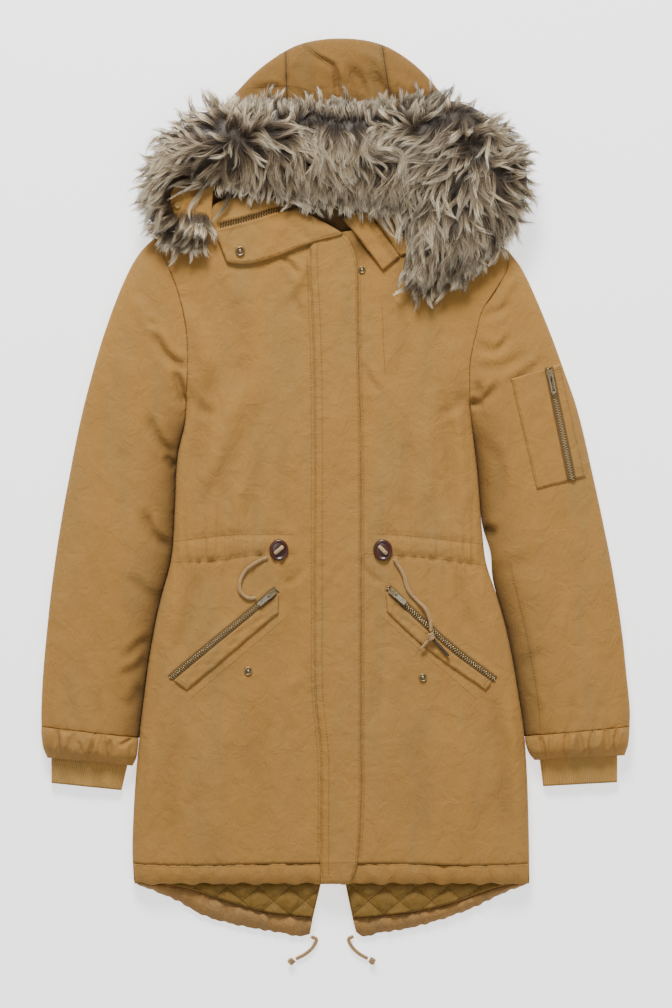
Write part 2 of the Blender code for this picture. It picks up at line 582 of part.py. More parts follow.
# sleeve pocket: a patch with a slanted zip, and a pen pocket beside it
cloth("sleeve_pocket", between([(220, 136), (240, 142), (262, 149)], [(251, -3), (271, 2), (291, 7)], 7, 5),
      on_top(ON + 0.3), on_top(ON + 2.4))
cloth("pen_pocket", between([(272, 152), (281, 155)], [(300, 10), (313, 13)], 9, 4), on_top(ON + 0.6), on_top(ON + 3.2))
strip("sleeve_zip", [(266, 150), (281, 80), (295, 10)], 7.0, on_top(ON + 0.4), on_top(ON + 2.6), 8, "brass")
d = np.array([29.0, -140.0])
d /= np.linalg.norm(d)
x, y = np.array([266.0, 150.0]) + d * 8
HINGES["sleeve"] = slider("sleeve", x, y, top(x, y) + ON + 2.6 + 1.2, d, 11.0, 22.0, True)

# ---------------------------------------------------------------- snaps, buttons, toggles
def disc(name, x, y, z, radius, height, slot, sides=20):
    bm = bmesh.new()
    bmesh.ops.create_cone(bm, cap_ends=True, segments=sides, radius1=radius * MM, radius2=radius * 0.86 * MM,
                          depth=height * MM)
    bmesh.ops.translate(bm, vec=Vector((x, y, z + height / 2)) * MM, verts=bm.verts)
    return finish_mesh(name, bm, slot)


disc("snap_collar_right", -119, 295, 35.2, 5.6, 2.0, "brass")
disc("snap_collar_left", 83, 316, 31.4, 4.6, 1.8, "brass")
disc("snap_front", 36.5, 272, top(36, 272) + ON, 4.2, 2.2, "brass")
disc("snap_pocket_right", -109, -229, top(-109, -229) + ON, 5.0, 2.2, "brass")
disc("snap_pocket_left", 109, -237, top(109, -237) + ON, 5.0, 2.2, "brass")
disc("hood_button_right", -197, 352, 36.2, 4.4, 2.0, "cord")


def cord(name, points, diameter, slot="cord"):
    """A cord along the smooth line through hand chosen points of (x, y, z)."""
    length = np.linalg.norm(np.diff(np.array(points, float), axis=0), axis=1).sum()
    count = int(min(80, max(4, round(length / (diameter * 2.2)) + 1)))
    curve = bpy.data.curves.new(name, "CURVE")
    curve.dimensions = "3D"
    curve.bevel_depth = diameter * MM / 2
    curve.bevel_resolution = 2
    curve.use_fill_caps = True
    spline = curve.splines.new("POLY")
    line = through(points, count)
    spline.points.add(len(line) - 1)
    for p, q in zip(spline.points, line):
        p.co = (*(q * MM), 1)
    return add(name, curve, slot)


TOGGLES = {"right": (-70.6, -78.0, 40.0), "left": (59.0, -78.0, -45.0)}
for word, (x, y, angle) in TOGGLES.items():
    z = top(x, y) + ON
    bm = bmesh.new()
    bmesh.ops.create_cone(bm, cap_ends=True, segments=24, radius1=12.4 * MM, radius2=11.6 * MM, depth=3.6 * MM)
    bmesh.ops.scale(bm, vec=(0.94, 1.08, 1.0), verts=bm.verts)
    bmesh.ops.translate(bm, vec=Vector((x, y, z + 1.8)) * MM, verts=bm.verts)
    toggle = finish_mesh("toggle_" + word, bm, "button")
    c, s = math.cos(math.radians(angle)), math.sin(math.radians(angle))
    for k, along in enumerate((-5.0, 5.0)):
        bm = bmesh.new()
        bmesh.ops.create_cone(bm, cap_ends=True, segments=12, radius1=3.2 * MM, radius2=3.2 * MM, depth=12 * MM)
        bmesh.ops.translate(bm, vec=Vector((x + c * along, y + s * along, z + 1.8)) * MM, verts=bm.verts)
        hole = finish_mesh("toggle_hole_%s_%d" % (word, k), bm, "button")
        hole.hide_render = True
        hole.display_type = "WIRE"
        coat.objects.unlink(hole)
        guides.objects.link(hole)
        cut = toggle.modifiers.new("hole", "BOOLEAN")
        cut.operation = "DIFFERENCE"
        cut.solver = "EXACT"
        cut.object = hole
    cord("toggle_cord_" + word, [(x - c * 5.0, y - s * 5.0, z + 2.1), (x - c * 4.6, y - s * 4.6, z + 5.2),
                                 (x, y, z + 6.6), (x + c * 4.6, y + s * 4.6, z + 5.2), (x + c * 5.0, y + s * 5.0, z + 2.1)],
         CORD - 0.4)


# ---------------------------------------------------------------- drawstrings
def laid(points, above=CORD / 2 + 0.5):
    return [(x, y, top(x, y) + above) for x, y in points]


cord("waist_cord_right", laid([(-84.6, -87), (-106, -98), (-118.5, -115), (-119.5, -128), (-110, -137.5), (-99, -138)]),
     CORD)
cord("waist_cord_left", laid([(73, -88.5), (85, -109), (91, -128), (102, -141), (112, -151), (118, -166),
                              (119, -180)], CORD / 2 + 1.0)[:4]
     + [(112, -151, 36.0), (118, -166, 36.4), (119, -180, 36.0)], CORD)


def lump(name, x, y, z, size, slot="cord"):
    bm = bmesh.new()
    bmesh.ops.create_uvsphere(bm, u_segments=12, v_segments=8, radius=MM)
    bmesh.ops.scale(bm, vec=size, verts=bm.verts)
    bmesh.ops.translate(bm, vec=Vector((x, y, z)) * MM, verts=bm.verts)
    return finish_mesh(name, bm, slot)


lump("waist_knot", 119, -186.0, 35.8, (5.0, 5.2, 4.4))
cord("waist_stub", [(115.3, -190.6, 35.4), (111, -196, 35.2), (107, -201, 35.0)], CORD - 0.8)
cord("waist_tip", [(123.2, -190.2, 35.4), (131, -199, 35.2), (141, -210, 35.0)], 3.6, "brass")

HEM = {"right": [(-30.4, -563.0, 3.6), (-24, -566, 3.0), (-27, -574, 2.6), (-37, -584, 2.6), (-50, -591, 2.6)],
       "left": [(22.6, -562.2, 3.6), (16.5, -566, 3.0), (19, -573, 2.6), (28, -583, 2.6), (40.5, -590.5, 2.6)]}
cord("hem_cord_right", HEM["right"], CORD)
cord("hem_cord_left", HEM["left"], CORD)
lump("hem_knot_right", -55.2, -593.6, 4.3, (4.9, 4.6, 4.2))
lump("hem_knot_left", 45.8, -593.2, 4.3, (4.9, 4.6, 4.2))
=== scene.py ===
# Visual model of the fur trimmed parka, laid flat. Sizes in the tables are millimetres in the row's frame.
# "right" and "left" in the names are the wearer's, so "right" pieces have negative x.
import math
import bpy
import numpy as np
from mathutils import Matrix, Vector


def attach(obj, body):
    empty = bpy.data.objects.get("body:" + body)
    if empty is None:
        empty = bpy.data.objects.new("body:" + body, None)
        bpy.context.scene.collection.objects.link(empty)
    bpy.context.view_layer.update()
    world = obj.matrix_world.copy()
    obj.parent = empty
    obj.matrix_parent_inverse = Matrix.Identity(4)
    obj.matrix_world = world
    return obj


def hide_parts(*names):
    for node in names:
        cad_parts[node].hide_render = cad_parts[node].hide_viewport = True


MM = 0.001
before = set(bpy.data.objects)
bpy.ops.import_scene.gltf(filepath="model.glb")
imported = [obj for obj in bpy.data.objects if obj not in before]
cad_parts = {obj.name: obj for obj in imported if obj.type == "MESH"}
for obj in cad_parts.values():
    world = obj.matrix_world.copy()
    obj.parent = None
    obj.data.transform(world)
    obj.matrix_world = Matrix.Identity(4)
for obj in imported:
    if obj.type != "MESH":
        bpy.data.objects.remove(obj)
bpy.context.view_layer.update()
rng = np.random.default_rng(7)

# ---------------------------------------------------------------- camera, floor and light
CAM_H = 6.0
cam = bpy.data.objects.new("camera", bpy.data.cameras.new("camera"))
cam.data.type = "PERSP"
cam.data.lens_unit = "FOV"
cam.data.sensor_fit = "VERTICAL"
view_tall = 1.2600                                            # metres seen from top to bottom
cam.data.angle = 2 * math.atan(view_tall / 2 / (CAM_H - 0.02))
cam.location = (0.0006, -0.0205, CAM_H)
cam.rotation_euler = (0, 0, 0)
cam.data.clip_end = 50
bpy.context.scene.collection.objects.link(cam)
bpy.context.scene.camera = cam


def rgb(r, g, b):
    """Linear colour from an 8 bit display colour."""
    return tuple(((c / 255) / 12.92 if c / 255 <= 0.04045 else ((c / 255 + 0.055) / 1.055) ** 2.4)
                 for c in (r, g, b))


floor_mesh = bpy.data.meshes.new("floor")
floor_mesh.from_pydata([(-4, -4, 0), (4, -4, 0), (4, 4, 0), (-4, 4, 0)], [], [(0, 1, 2, 3)])
floor = bpy.data.objects.new("floor", floor_mesh)
floor.location = (0, 0, -0.0006)
bpy.context.scene.collection.objects.link(floor)
mat = bpy.data.materials.new("floor")
mat.use_nodes = True
bsdf = mat.node_tree.nodes["Principled BSDF"]
bsdf.inputs["Base Color"].default_value = (0.93, 0.93, 0.93, 1)
bsdf.inputs["Roughness"].default_value = 0.9
bsdf.inputs["Emission Color"].default_value = (1, 1, 1, 1)
bsdf.inputs["Emission Strength"].default_value = 1.2
floor_mesh.materials.append(mat)

world = bpy.data.worlds.new("studio")
bpy.context.scene.world = world
world.use_nodes = True
world.node_tree.nodes["Background"].inputs["Color"].default_value = (1, 1, 1, 1)
world.node_tree.nodes["Background"].inputs["Strength"].default_value = 0.42


def area(name, place, aim, size, power):
    light = bpy.data.objects.new(name, bpy.data.lights.new(name, "AREA"))
    light.data.shape = "DISK"
    light.data.size = size
    light.data.energy = power
    light.location = place
    light.rotation_euler = (Vector(aim) - Vector(place)).to_track_quat("-Z", "Y").to_euler()
    bpy.context.scene.collection.objects.link(light)


area("key", (-0.35, 3.0, 2.2), (0, 0, 0), 1.3, 235)
area("fill", (1.2, -1.4, 3.6), (0, 0, 0), 2.5, 50)


# ---------------------------------------------------------------- curves and distances
def follow(table, at, column=1):
    keys = np.array([row[0] for row in table], float)
    vals = np.array([row[column] for row in table], float)
    if keys[0] > keys[-1]:
        keys, vals = keys[::-1], vals[::-1]
    at = np.clip(np.asarray(at, float), keys[0], keys[-1])
    k = np.clip(np.searchsorted(keys, at) - 1, 0, len(keys) - 2)
    slopes = np.gradient(vals, keys)
    h = keys[k + 1] - keys[k]
    t = (at - keys[k]) / h
    return ((2 * t**3 - 3 * t**2 + 1) * vals[k] + (t**3 - 2 * t**2 + t) * h * slopes[k]
            + (3 * t**2 - 2 * t**3) * vals[k + 1] + (t**3 - t**2) * h * slopes[k + 1])


def through(points, count, start=0.0, stop=1.0):
    pts = np.array(points, float)
    if len(pts) == 2:
        t = np.linspace(start, stop, count)[:, None]
        return pts[0] * (1 - t) + pts[1] * t
    step = np.linalg.norm(np.diff(pts, axis=0), axis=1)
    run = np.concatenate([[0], np.cumsum(step)])
    slope = np.gradient(pts, run, axis=0)
    fine = []
    for k in range(len(pts) - 1):
        t = np.linspace(0, 1, 24, endpoint=k == len(pts) - 2)[:, None]
        h = step[k]
        fine.append((2 * t**3 - 3 * t**2 + 1) * pts[k] + (t**3 - 2 * t**2 + t) * h * slope[k]
                    + (3 * t**2 - 2 * t**3) * pts[k + 1] + (t**3 - t**2) * h * slope[k + 1])
    fine = np.concatenate(fine)
    run = np.concatenate([[0], np.cumsum(np.linalg.norm(np.diff(fine, axis=0), axis=1))])
    want = np.linspace(start, stop, count) * run[-1]
    return np.stack([np.interp(want, run, fine[:, c]) for c in range(fine.shape[1])], axis=1)


def along(X, Y, line):
    """Signed distance to a line of points, the length along it, and the line's length."""
    line = np.asarray(line, float)
    best = np.full(X.shape, 1e9)
    side = np.zeros(X.shape)
    run = np.zeros(X.shape)
    total = 0.0
    n = len(line) - 1
    for k in range(n):
        a, d = line[k], line[k + 1] - line[k]
        size = math.hypot(*d)
        if size < 1e-6:
            continue
        t = ((X - a[0]) * d[0] + (Y - a[1]) * d[1]) / size**2
        low, high = (-9 if k == 0 else 0), (9 if k == n - 1 else 1)
        tc = np.clip(t, low, high)
        dist = np.hypot(X - a[0] - d[0] * tc, Y - a[1] - d[1] * tc)
        cross = ((Y - a[1]) * d[0] - (X - a[0]) * d[1]) / size
        use = dist < best
        best = np.where(use, dist, best)
        side = np.where(use, np.where(cross < 0, -dist, dist), side)
        run = np.where(use, total + tc * size, run)
        total += size
    return side, run, total


def to_line(X, Y, line):
    line = np.asarray(line, float)
    best = np.full(X.shape, 1e9)
    for k in range(len(line) - 1):
        a, d = line[k], line[k + 1] - line[k]
        t = np.clip(((X - a[0]) * d[0] + (Y - a[1]) * d[1]) / max(d[0]**2 + d[1]**2, 1e-9), 0, 1)
        best = np.minimum(best, np.hypot(X - a[0] - d[0] * t, Y - a[1] - d[1] * t))
    return best


def waves(X, Y, size, seed, stretch=(1.0, 1.0)):
    """Soft uneven swell of about unit height, with hills about one size across."""
    r = np.random.default_rng(seed)
    out = np.zeros(X.shape)
    for _ in range(9):
        a = r.uniform(0, 2 * math.pi)
        w = 2 * math.pi / (size * r.uniform(0.7, 1.7))
        out += np.sin((X * math.cos(a) / stretch[0] + Y * math.sin(a) / stretch[1]) * w + r.uniform(0, 6.28)
                      + 0.8 * np.sin((X * math.sin(a) - Y * math.cos(a)) * w * 0.6 + r.uniform(0, 6.28)))
    return out / 3.2


def creases(X, Y, table):
    """Soft troughs (negative) and ridges, listed: points, height, half width."""
    out = np.zeros(X.shape)
    for points, height, wide in table:
        line = through(points, 3 * len(points) + 4) if len(points) > 2 else np.array(points, float)
        pts = np.asarray(points, float)
        reach = wide * 3.2
        near = ((X > pts[:, 0].min() - reach) & (X < pts[:, 0].max() + reach)
                & (Y > pts[:, 1].min() - reach) & (Y < pts[:, 1].max() + reach))
        if not near.any():
            continue
        d, s, total = along(X[near], Y[near], line)
        ends = np.clip(np.minimum(s / (0.35 * total) + 0.25, (total - s) / (0.35 * total) + 0.25), 0, 1)
        ends = ends * ends * (3 - 2 * ends)
        g = np.exp(-(d / wide) ** 2) - 0.35 * np.exp(-((d - 1.5 * wide) / wide) ** 2)
        out[near] += height * ends * g
    return out


# ---------------------------------------------------------------- the coat's outlines
# They are the CAD model's, except that the top of PLACKET is wider here.
BACK_TOP, FRONT_LOW, FOLD_TOP, FOLD_LOW = 10.7, 13.0, 15.0, 8.0
PAD_RISE, PAD_REACH, HOOD_RISE, FUR_BASE = 12.5, 44.0, 18.0, 36.4
SIDE_RIGHT = [(108, -187), (84, -188), (42, -197), (-27, -201), (-92, -206), (-141, -219), (-201, -231),
              (-266, -240), (-318, -246), (-392, -252), (-466, -254), (-500, -252), (-600, -252)]
SIDE_LEFT = [(104, 168), (84, 170), (14, 178), (-60, 184), (-92, 188), (-130, 200), (-171, 212), (-218, 222),
             (-266, 230), (-307, 236), (-348, 239), (-437, 242), (-500, 243), (-600, 243)]
ARMHOLE_RIGHT = [(313, -226), (294, -217), (248, -198), (194, -186), (153, -185), (108, -187)]
ARMHOLE_LEFT = [(297, 216), (274, 215), (247, 200), (222, 184), (193, 176), (160, 169), (104, 168)]
SHOULDER_RIGHT = [(0, 313), (0.25, 328), (0.5, 341), (0.6, 343)]
SHOULDER_LEFT = [(0, 297), (0.25, 322), (0.5, 340), (0.6, 342)]
FRONT_NECK = [(0.8, 326), (1, 318)]
BACK_NECK = [(0.8, 344), (1, 344)]
FRONT_SEAM = [(0, -470), (0.3, -472), (0.6, -470), (1, -469)]
TAIL_SEAM_RIGHT = [(0, -492), (0.25, -500), (0.55, -521), (0.7, -530), (1, -538)]
TAIL_SEAM_LEFT = [(0, -492), (0.2, -502), (0.4, -518), (0.6, -529), (0.8, -535), (1, -539)]
TAIL_RIGHT = [(-251, -496), (-219, -509), (-200, -517), (-166, -536), (-129, -547), (-99, -553), (-68, -558),
              (-38, -561.3), (-32, -558)]
TAIL_LEFT = [(242, -496), (211, -508), (169, -528), (133, -541), (83, -554), (55, -558), (30, -561),
             (26, -557)]
SLEEVE_RIGHT = [(-226, 313, 108), (-247, 291, 104), (-266, 255, 96), (-288, 197, 80), (-305, 140, 56),
                (-320, 80, 22), (-334, 9, -26), (-344, -47, -72), (-354, -115, -128), (-361, -178, -188),
                (-366, -234, -246), (-368, -275, -291), (-368, -299, -313)]
SLEEVE_LEFT = [(216, 297, 104), (234, 272, 100), (252, 234, 92), (270, 190, 78), (287, 143, 56),
               (304, 92, 26),
               (322, 15, -24), (335, -45, -72), (347, -106, -124), (358, -178, -186), (364, -234, -244),
               (368, -275, -290), (368, -299, -311)]
NECK_TO_SLEEVE_RIGHT = [(-95, 345), (-150, 333), (-195, 323)]
NECK_TO_SLEEVE_LEFT = [(95, 344), (150, 327), (190, 311)]
BAND_RIGHT = [(-368, -299.1, -246.5, -313.1, 27), (-368, -308, -247, -322, 30), (-366, -324, -249, -337, 29),
              (-361, -338, -254, -348, 19)]
BAND_LEFT = [(368, -299.1, 237, -311.1, 27), (367.5, -308, 238, -320, 30), (366, -322, 242, -332, 29),
             (362, -335, 249, -341, 19)]
CUFF_RIGHT = [(-356, -339.6, -261, -349.2, 13), (-356, -352, -264, -362, 11), (-356, -370, -268, -379, 10)]
CUFF_LEFT = [(353, -336.9, 256, -342.2, 13), (353, -350, 258, -357, 11), (353, -369, 260, -374, 10)]
HOOD_FOLD = [(-172, 352), (-186, 385), (-176, 430), (-146, 470), (-122, 497), (-104, 516), (-82, 534),
             (-49, 553),
             (5, 562), (61, 553), (93, 534), (113, 516), (129, 497), (150, 470), (172, 430), (182, 385),
             (168, 350)]
HOOD_OPENING = [(-161, 352), (-164, 380), (-150, 408), (-112, 424), (-60, 428), (5, 428), (70, 426),
                (115, 420),
                (148, 404), (160, 380), (157, 350)]
HOOD_NECK = [(-100, 348), (-50, 346), (5, 346), (60, 346), (100, 348)]
FUR_OUTER = [(-170, 302), (-208, 310), (-230, 332), (-236, 365), (-228, 402), (-200, 440), (-150, 472),
             (-80, 477),
             (0, 470), (80, 474), (150, 481), (204, 452), (235, 410), (237, 368), (214, 322), (165, 272),
             (118, 247)]
FUR_INNER = [(-160, 318), (-186, 328), (-202, 344), (-204, 368), (-190, 384), (-165, 384), (-132, 376),
             (-95, 368),
             (-50, 360), (0, 355), (45, 352), (78, 348), (96, 338), (98, 322), (92, 306), (86, 282),
             (90, 254)]
PLACKET = [(320, -33, 5), (311, -33, 15.5), (303, -33, 20), (294, -33, 23.6), (284, -33, 26.2),
           (272, -33, 27.5), (240, -31, 28), (160, -28, 29), (85, -27, 31),
           (-140, -27, 32), (-275, -25, 32), (-320, -20, 32), (-410, -19, 31.5), (-440, -19, 30),
           (-478, -19, 25),
           (-495, -18, 17)]
POCKETS = {"right": [(-73, -127), (-108, -157), (-158, -198), (-206, -238)],
           "left": [(65, -125), (98, -157), (148, -202), (199, -240)]}
LOWER = {"right": [(-71, -157), (-88, -171), (-136, -212), (-186, -254)],
         "left": [(64, -155), (80, -171), (110, -198), (188, -254)]}


def side_line(table, low=-600.0):
    y = np.linspace(table[0][0], low, 60)
    return np.stack([follow(table, y), y], axis=1)


OUTER_R = through(NECK_TO_SLEEVE_RIGHT + [row[:2] for row in SLEEVE_RIGHT], 80)
OUTER_L = through(NECK_TO_SLEEVE_LEFT + [row[:2] for row in SLEEVE_LEFT], 80)
SIDE_R, SIDE_L = side_line(SIDE_RIGHT), side_line(SIDE_LEFT)
HOOD_LINE = through(HOOD_FOLD, 90)


def swell(distance, reach, power=2.3):
    t = np.clip(distance / reach, 0, 1)
    return (1 - (1 - t) ** power) ** (1 / power)


def to_fold(X, Y):
    return np.minimum(np.minimum(to_line(X, Y, OUTER_R), to_line(X, Y, OUTER_L)),
                      np.minimum(to_line(X, Y, SIDE_R), to_line(X, Y, SIDE_L)))


# soft folds, points in mm: height, half width
BODY_FOLDS = [
    ([(-112, 128), (-140, 60), (-169, -12)], 1.9, 15), ([(-150, 150), (-172, 60), (-180, 0)], -1.6, 12),
    ([(-95, 40), (-100, -30), (-98, -68)], -0.9, 8), ([(-62, 60), (-66, 0), (-64, -58)], -0.7, 7),
    ([(-118, 10), (-122, -30), (-120, -62)], 0.9, 7), ([(-150, 0), (-152, -60)], 0.9, 6),
    ([(88, 80), (92, 10), (90, -50)], -1.1, 9), ([(112, 96), (118, 20), (116, -40)], 1.1, 9),
    ([(134, 120), (142, 40), (146, -40)], -1.2, 8), ([(155, 100), (162, 30), (164, -40)], 1.0, 8),
    ([(60, 30), (66, -30), (68, -58)], 0.8, 8), ([(-150, 260), (-120, 200), (-112, 120)], -1.0, 14),
    ([(120, 250), (140, 180), (150, 110)], 1.2, 14), ([(70, 240), (84, 180), (80, 120)], -0.8, 12),
    ([(-198, 232), (-170, 190), (-150, 130)], 1.0, 12), ([(-68, 291), (-56, 278), (-44, 266)], -1.3, 3.5),
    ([(-60, 262), (-54, 240), (-40, 210)], -0.7, 6),
    ([(-30, 296), (-44, 262), (-64, 232)], 1.1, 7), ([(-20, 268), (-32, 240)], -0.9, 4),
    ([(-120, -108), (-128, -170), (-150, -196)], 0.9, 12),
    ([(-170, -110), (-186, -170), (-200, -210)], -1.2, 10),
    ([(-60, -100), (-56, -150), (-50, -220)], -0.8, 10), ([(-90, -270), (-96, -360), (-92, -450)], -1.1, 16),
    ([(-140, -280), (-150, -370), (-146, -462)], 1.2, 16),
    ([(-196, -290), (-206, -380), (-210, -460)], -1.2, 13),
    ([(-230, -300), (-236, -400)], 1.0, 8), ([(60, -270), (62, -360), (58, -450)], 1.1, 14),
    ([(100, -290), (110, -380), (106, -462)], -1.1, 15), ([(150, -280), (164, -370), (160, -462)], 1.3, 14),
    ([(196, -264), (210, -340), (214, -440)], -1.7, 11), ([(222, -260), (228, -330)], 1.3, 8),
    ([(176, -108), (196, -160), (208, -210)], 1.2, 9), ([(148, -104), (160, -150), (176, -190)], -1.0, 9),
    ([(44, -220), (52, -250), (44, -300)], -0.9, 8), ([(-45, -232), (-60, -262), (-52, -300)], 0.8, 9),
    ([(-228, -180), (-222, -240), (-236, -300)], -0.8, 8), ([(30, -90), (46, -112), (60, -118)], -0.8, 5),
    ([(-40, -100), (-52, -116), (-66, -120)], -0.8, 5), ([(34, 156), (46, 130), (58, 118)], -0.9, 4),
    ([(-186, 120), (-170, 100), (-150, 90)], -1.0, 7), ([(168, 120), (150, 100), (130, 92)], -0.9, 7)]
SLEEVE_FOLDS = [
    ([(-228, 194), (-211, 164), (-187, 148)], -3.4, 6.5), ([(-236, 207), (-224, 204)], -1.8, 4),
    ([(-200, 146), (-193, 122), (-187, 102)], -4.2, 6),
    ([(-234, 90), (-224, 64), (-211, 48), (-198, 42)], -3.0, 6.5),
    ([(-213, 40), (-200, 24)], -3.6, 6), ([(-240, -30), (-226, -62), (-205, -74)], -3.6, 7),
    ([(-262, -110), (-240, -128), (-218, -140)], -2.0, 8),
    ([(-262, -214), (-246, -196), (-230, -188)], -2.6, 6),
    ([(-270, -236), (-250, -226), (-236, -212)], -2.4, 6),
    ([(-262, -276), (-250, -262), (-244, -246)], -2.0, 7),
    ([(-252, 240), (-240, 214), (-222, 186)], 1.6, 9), ([(-270, 180), (-262, 110), (-262, 40)], 1.0, 13),
    ([(-296, 120), (-300, 40), (-310, -40)], -0.9, 14), ([(-330, -80), (-338, -160), (-340, -240)], 0.9, 13),
    ([(-290, -60), (-296, -150), (-292, -236)], -1.0, 14),
    ([(-292, -250), (-297, -275), (-299, -297)], -1.5, 3.5),
    ([(-329, -262), (-329, -293)], -1.0, 4), ([(-250, -20), (-258, -80), (-262, -150)], 1.1, 11),
    ([(182, 215), (204, 220), (222, 230)], -1.8, 5), ([(175, 178), (202, 172), (218, 190)], -2.2, 5),
    ([(176, 150), (206, 150), (240, 168)], -1.4, 7), ([(214, 130), (238, 142), (262, 160)], -1.6, 6),
    ([(176, 132), (184, 112), (204, 128)], -2.4, 5.5), ([(168, 106), (186, 104)], -3.8, 5.5),
    ([(186, 60), (204, 30), (206, -30)], -1.8, 8), ([(184, -52), (202, -58)], -4.0, 7),
    ([(190, -110), (216, -100), (250, -84)], -0.9, 10), ([(228, -226), (246, -214), (266, -206)], -1.0, 9),
    ([(204, 120), (214, 60), (220, 0)], 1.2, 9), ([(240, -20), (256, -90), (262, -160)], 1.1, 13),
    ([(300, -60), (312, -140), (318, -220)], -0.9, 13), ([(336, -80), (346, -160)], 0.8, 10),
    ([(218, -97), (241.6, -200), (255, -289)], -1.0, 3), ([(250, -250), (262, -280), (262, -306)], 1.2, 6),
    ([(296, -262), (300, -300)], -1.2, 4), ([(330, -268), (326, -300)], -1.0, 4),
    ([(224, 262), (212, 244), (204, 232)], 1.2, 6), ([(230, 250), (246, 214), (256, 180)], 0.9, 11)]


def waist_line(word, lower):
    if word == "right":
        pts = [(-205, -94), (-148, -91), (-87, -83),
               (-48, -83)] if lower else [(-203, -68), (-129, -59.5), (-53, -59)]
    else:
        pts = [(36, -83), (103, -87), (192, -98)] if lower else [(41, -58), (89, -60.5), (184, -71)]
    return through(pts, 16)


def gathers(X, Y):
    """Puckers of the waist's drawstring channel."""
    out = np.zeros(X.shape)
    for word, sign in (("right", -1), ("left", 1)):
        lo, hi = waist_line(word, True), waist_line(word, False)
        yl = np.interp(X * sign, lo[:, 0] * sign if sign > 0 else lo[::-1, 0] * sign,
                       lo[:, 1] if sign > 0 else lo[::-1, 1])
        yh = np.interp(X * sign, hi[:, 0] * sign if sign > 0 else hi[::-1, 0] * sign,
                       hi[:, 1] if sign > 0 else hi[::-1, 1])
        on = (X * sign > 44) & (Y < yh + 60) & (Y > yl - 70)
        mid = np.clip((Y - yl) / (yh - yl), 0, 1)
        inside = np.where((Y > yl) & (Y < yh), 4 * mid * (1 - mid), 0)
        away = np.where(Y >= yh, (Y - yh) / 26, np.where(Y <= yl, (yl - Y) / 30, 0))
        fade = np.exp(-away) * np.clip((X * sign - 44) / 26, 0, 1)
        ripple = np.sin(X * 0.43 + 1.6 * np.sin(X * 0.11 + 1)
                        + 0.02 * Y * np.sign(Y - yl)) + 0.6 * np.sin(X * 0.71 + 2)
        dip = -0.9 * (np.exp(-((Y - yl) / 3.2) ** 2) + np.exp(-((Y - yh) / 3.2) ** 2))
        out += np.where(on, fade * (0.62 * ripple + dip) + 0.7 * inside * np.clip((X * sign - 44) / 20, 0, 1),
                        0)
    return out


def top(X, Y):
    """The skin of the front and the sleeves without its folds, and how strongly folds may show on it."""
    d = to_fold(X, Y)
    Z = FOLD_TOP + PAD_RISE * swell(d, PAD_REACH)
    ease = np.clip(d / 22, 0.12, 1)
    return Z, ease


def body_top(X, Y):
    Z, ease = top(X, Y)
    Z = Z + ease * (2.8 * creases(X, Y, BODY_FOLDS) + 2.3 * gathers(X, Y)
                    + 0.75 * waves(X, Y, 74, 3, (1.0, 1.9))
                    + 0.42 * waves(X, Y, 30, 5, (1.0, 1.5)) + 0.13 * waves(X, Y, 13, 6))
    return Z


def hood_top(X, Y):
    d = to_line(X, Y, HOOD_LINE)
    return FOLD_TOP + HOOD_RISE * swell(d, 52.0), np.clip(d / 20, 0.1, 1)


# ---------------------------------------------------------------- materials
def nodes_of(name):
    m = bpy.data.materials.new(name)
    m.use_nodes = True
    t = m.node_tree
    return m, t, t.nodes["Principled BSDF"]


class Maths:
    """Short names for the math nodes of one material."""
    def __init__(self, tree):
        self.t = tree

    def __call__(self, op, a, b=None, c=None, clamp=False):
        n = self.t.nodes.new("ShaderNodeMath")
        n.operation = op
        n.use_clamp = clamp
        for k, v in enumerate((a, b, c)):
            if v is None:
                continue
            if isinstance(v, (int, float)):
                n.inputs[k].default_value = v
            else:
                self.t.links.new(v, n.inputs[k])
        return n.outputs[0]

    def noise(self, vector, scale, detail=3.0, rough=0.55, distort=0.0):
        n = self.t.nodes.new("ShaderNodeTexNoise")
        n.inputs["Scale"].default_value = scale
        n.inputs["Detail"].default_value = detail
        n.inputs["Roughness"].default_value = rough
        n.inputs["Distortion"].default_value = distort
        self.t.links.new(vector, n.inputs["Vector"])
        return n.outputs["Fac"]

    def scaled(self, vector, scale):
        n = self.t.nodes.new("ShaderNodeMapping")
        n.inputs["Scale"].default_value = scale
        self.t.links.new(vector, n.inputs["Vector"])
        return n.outputs[0]


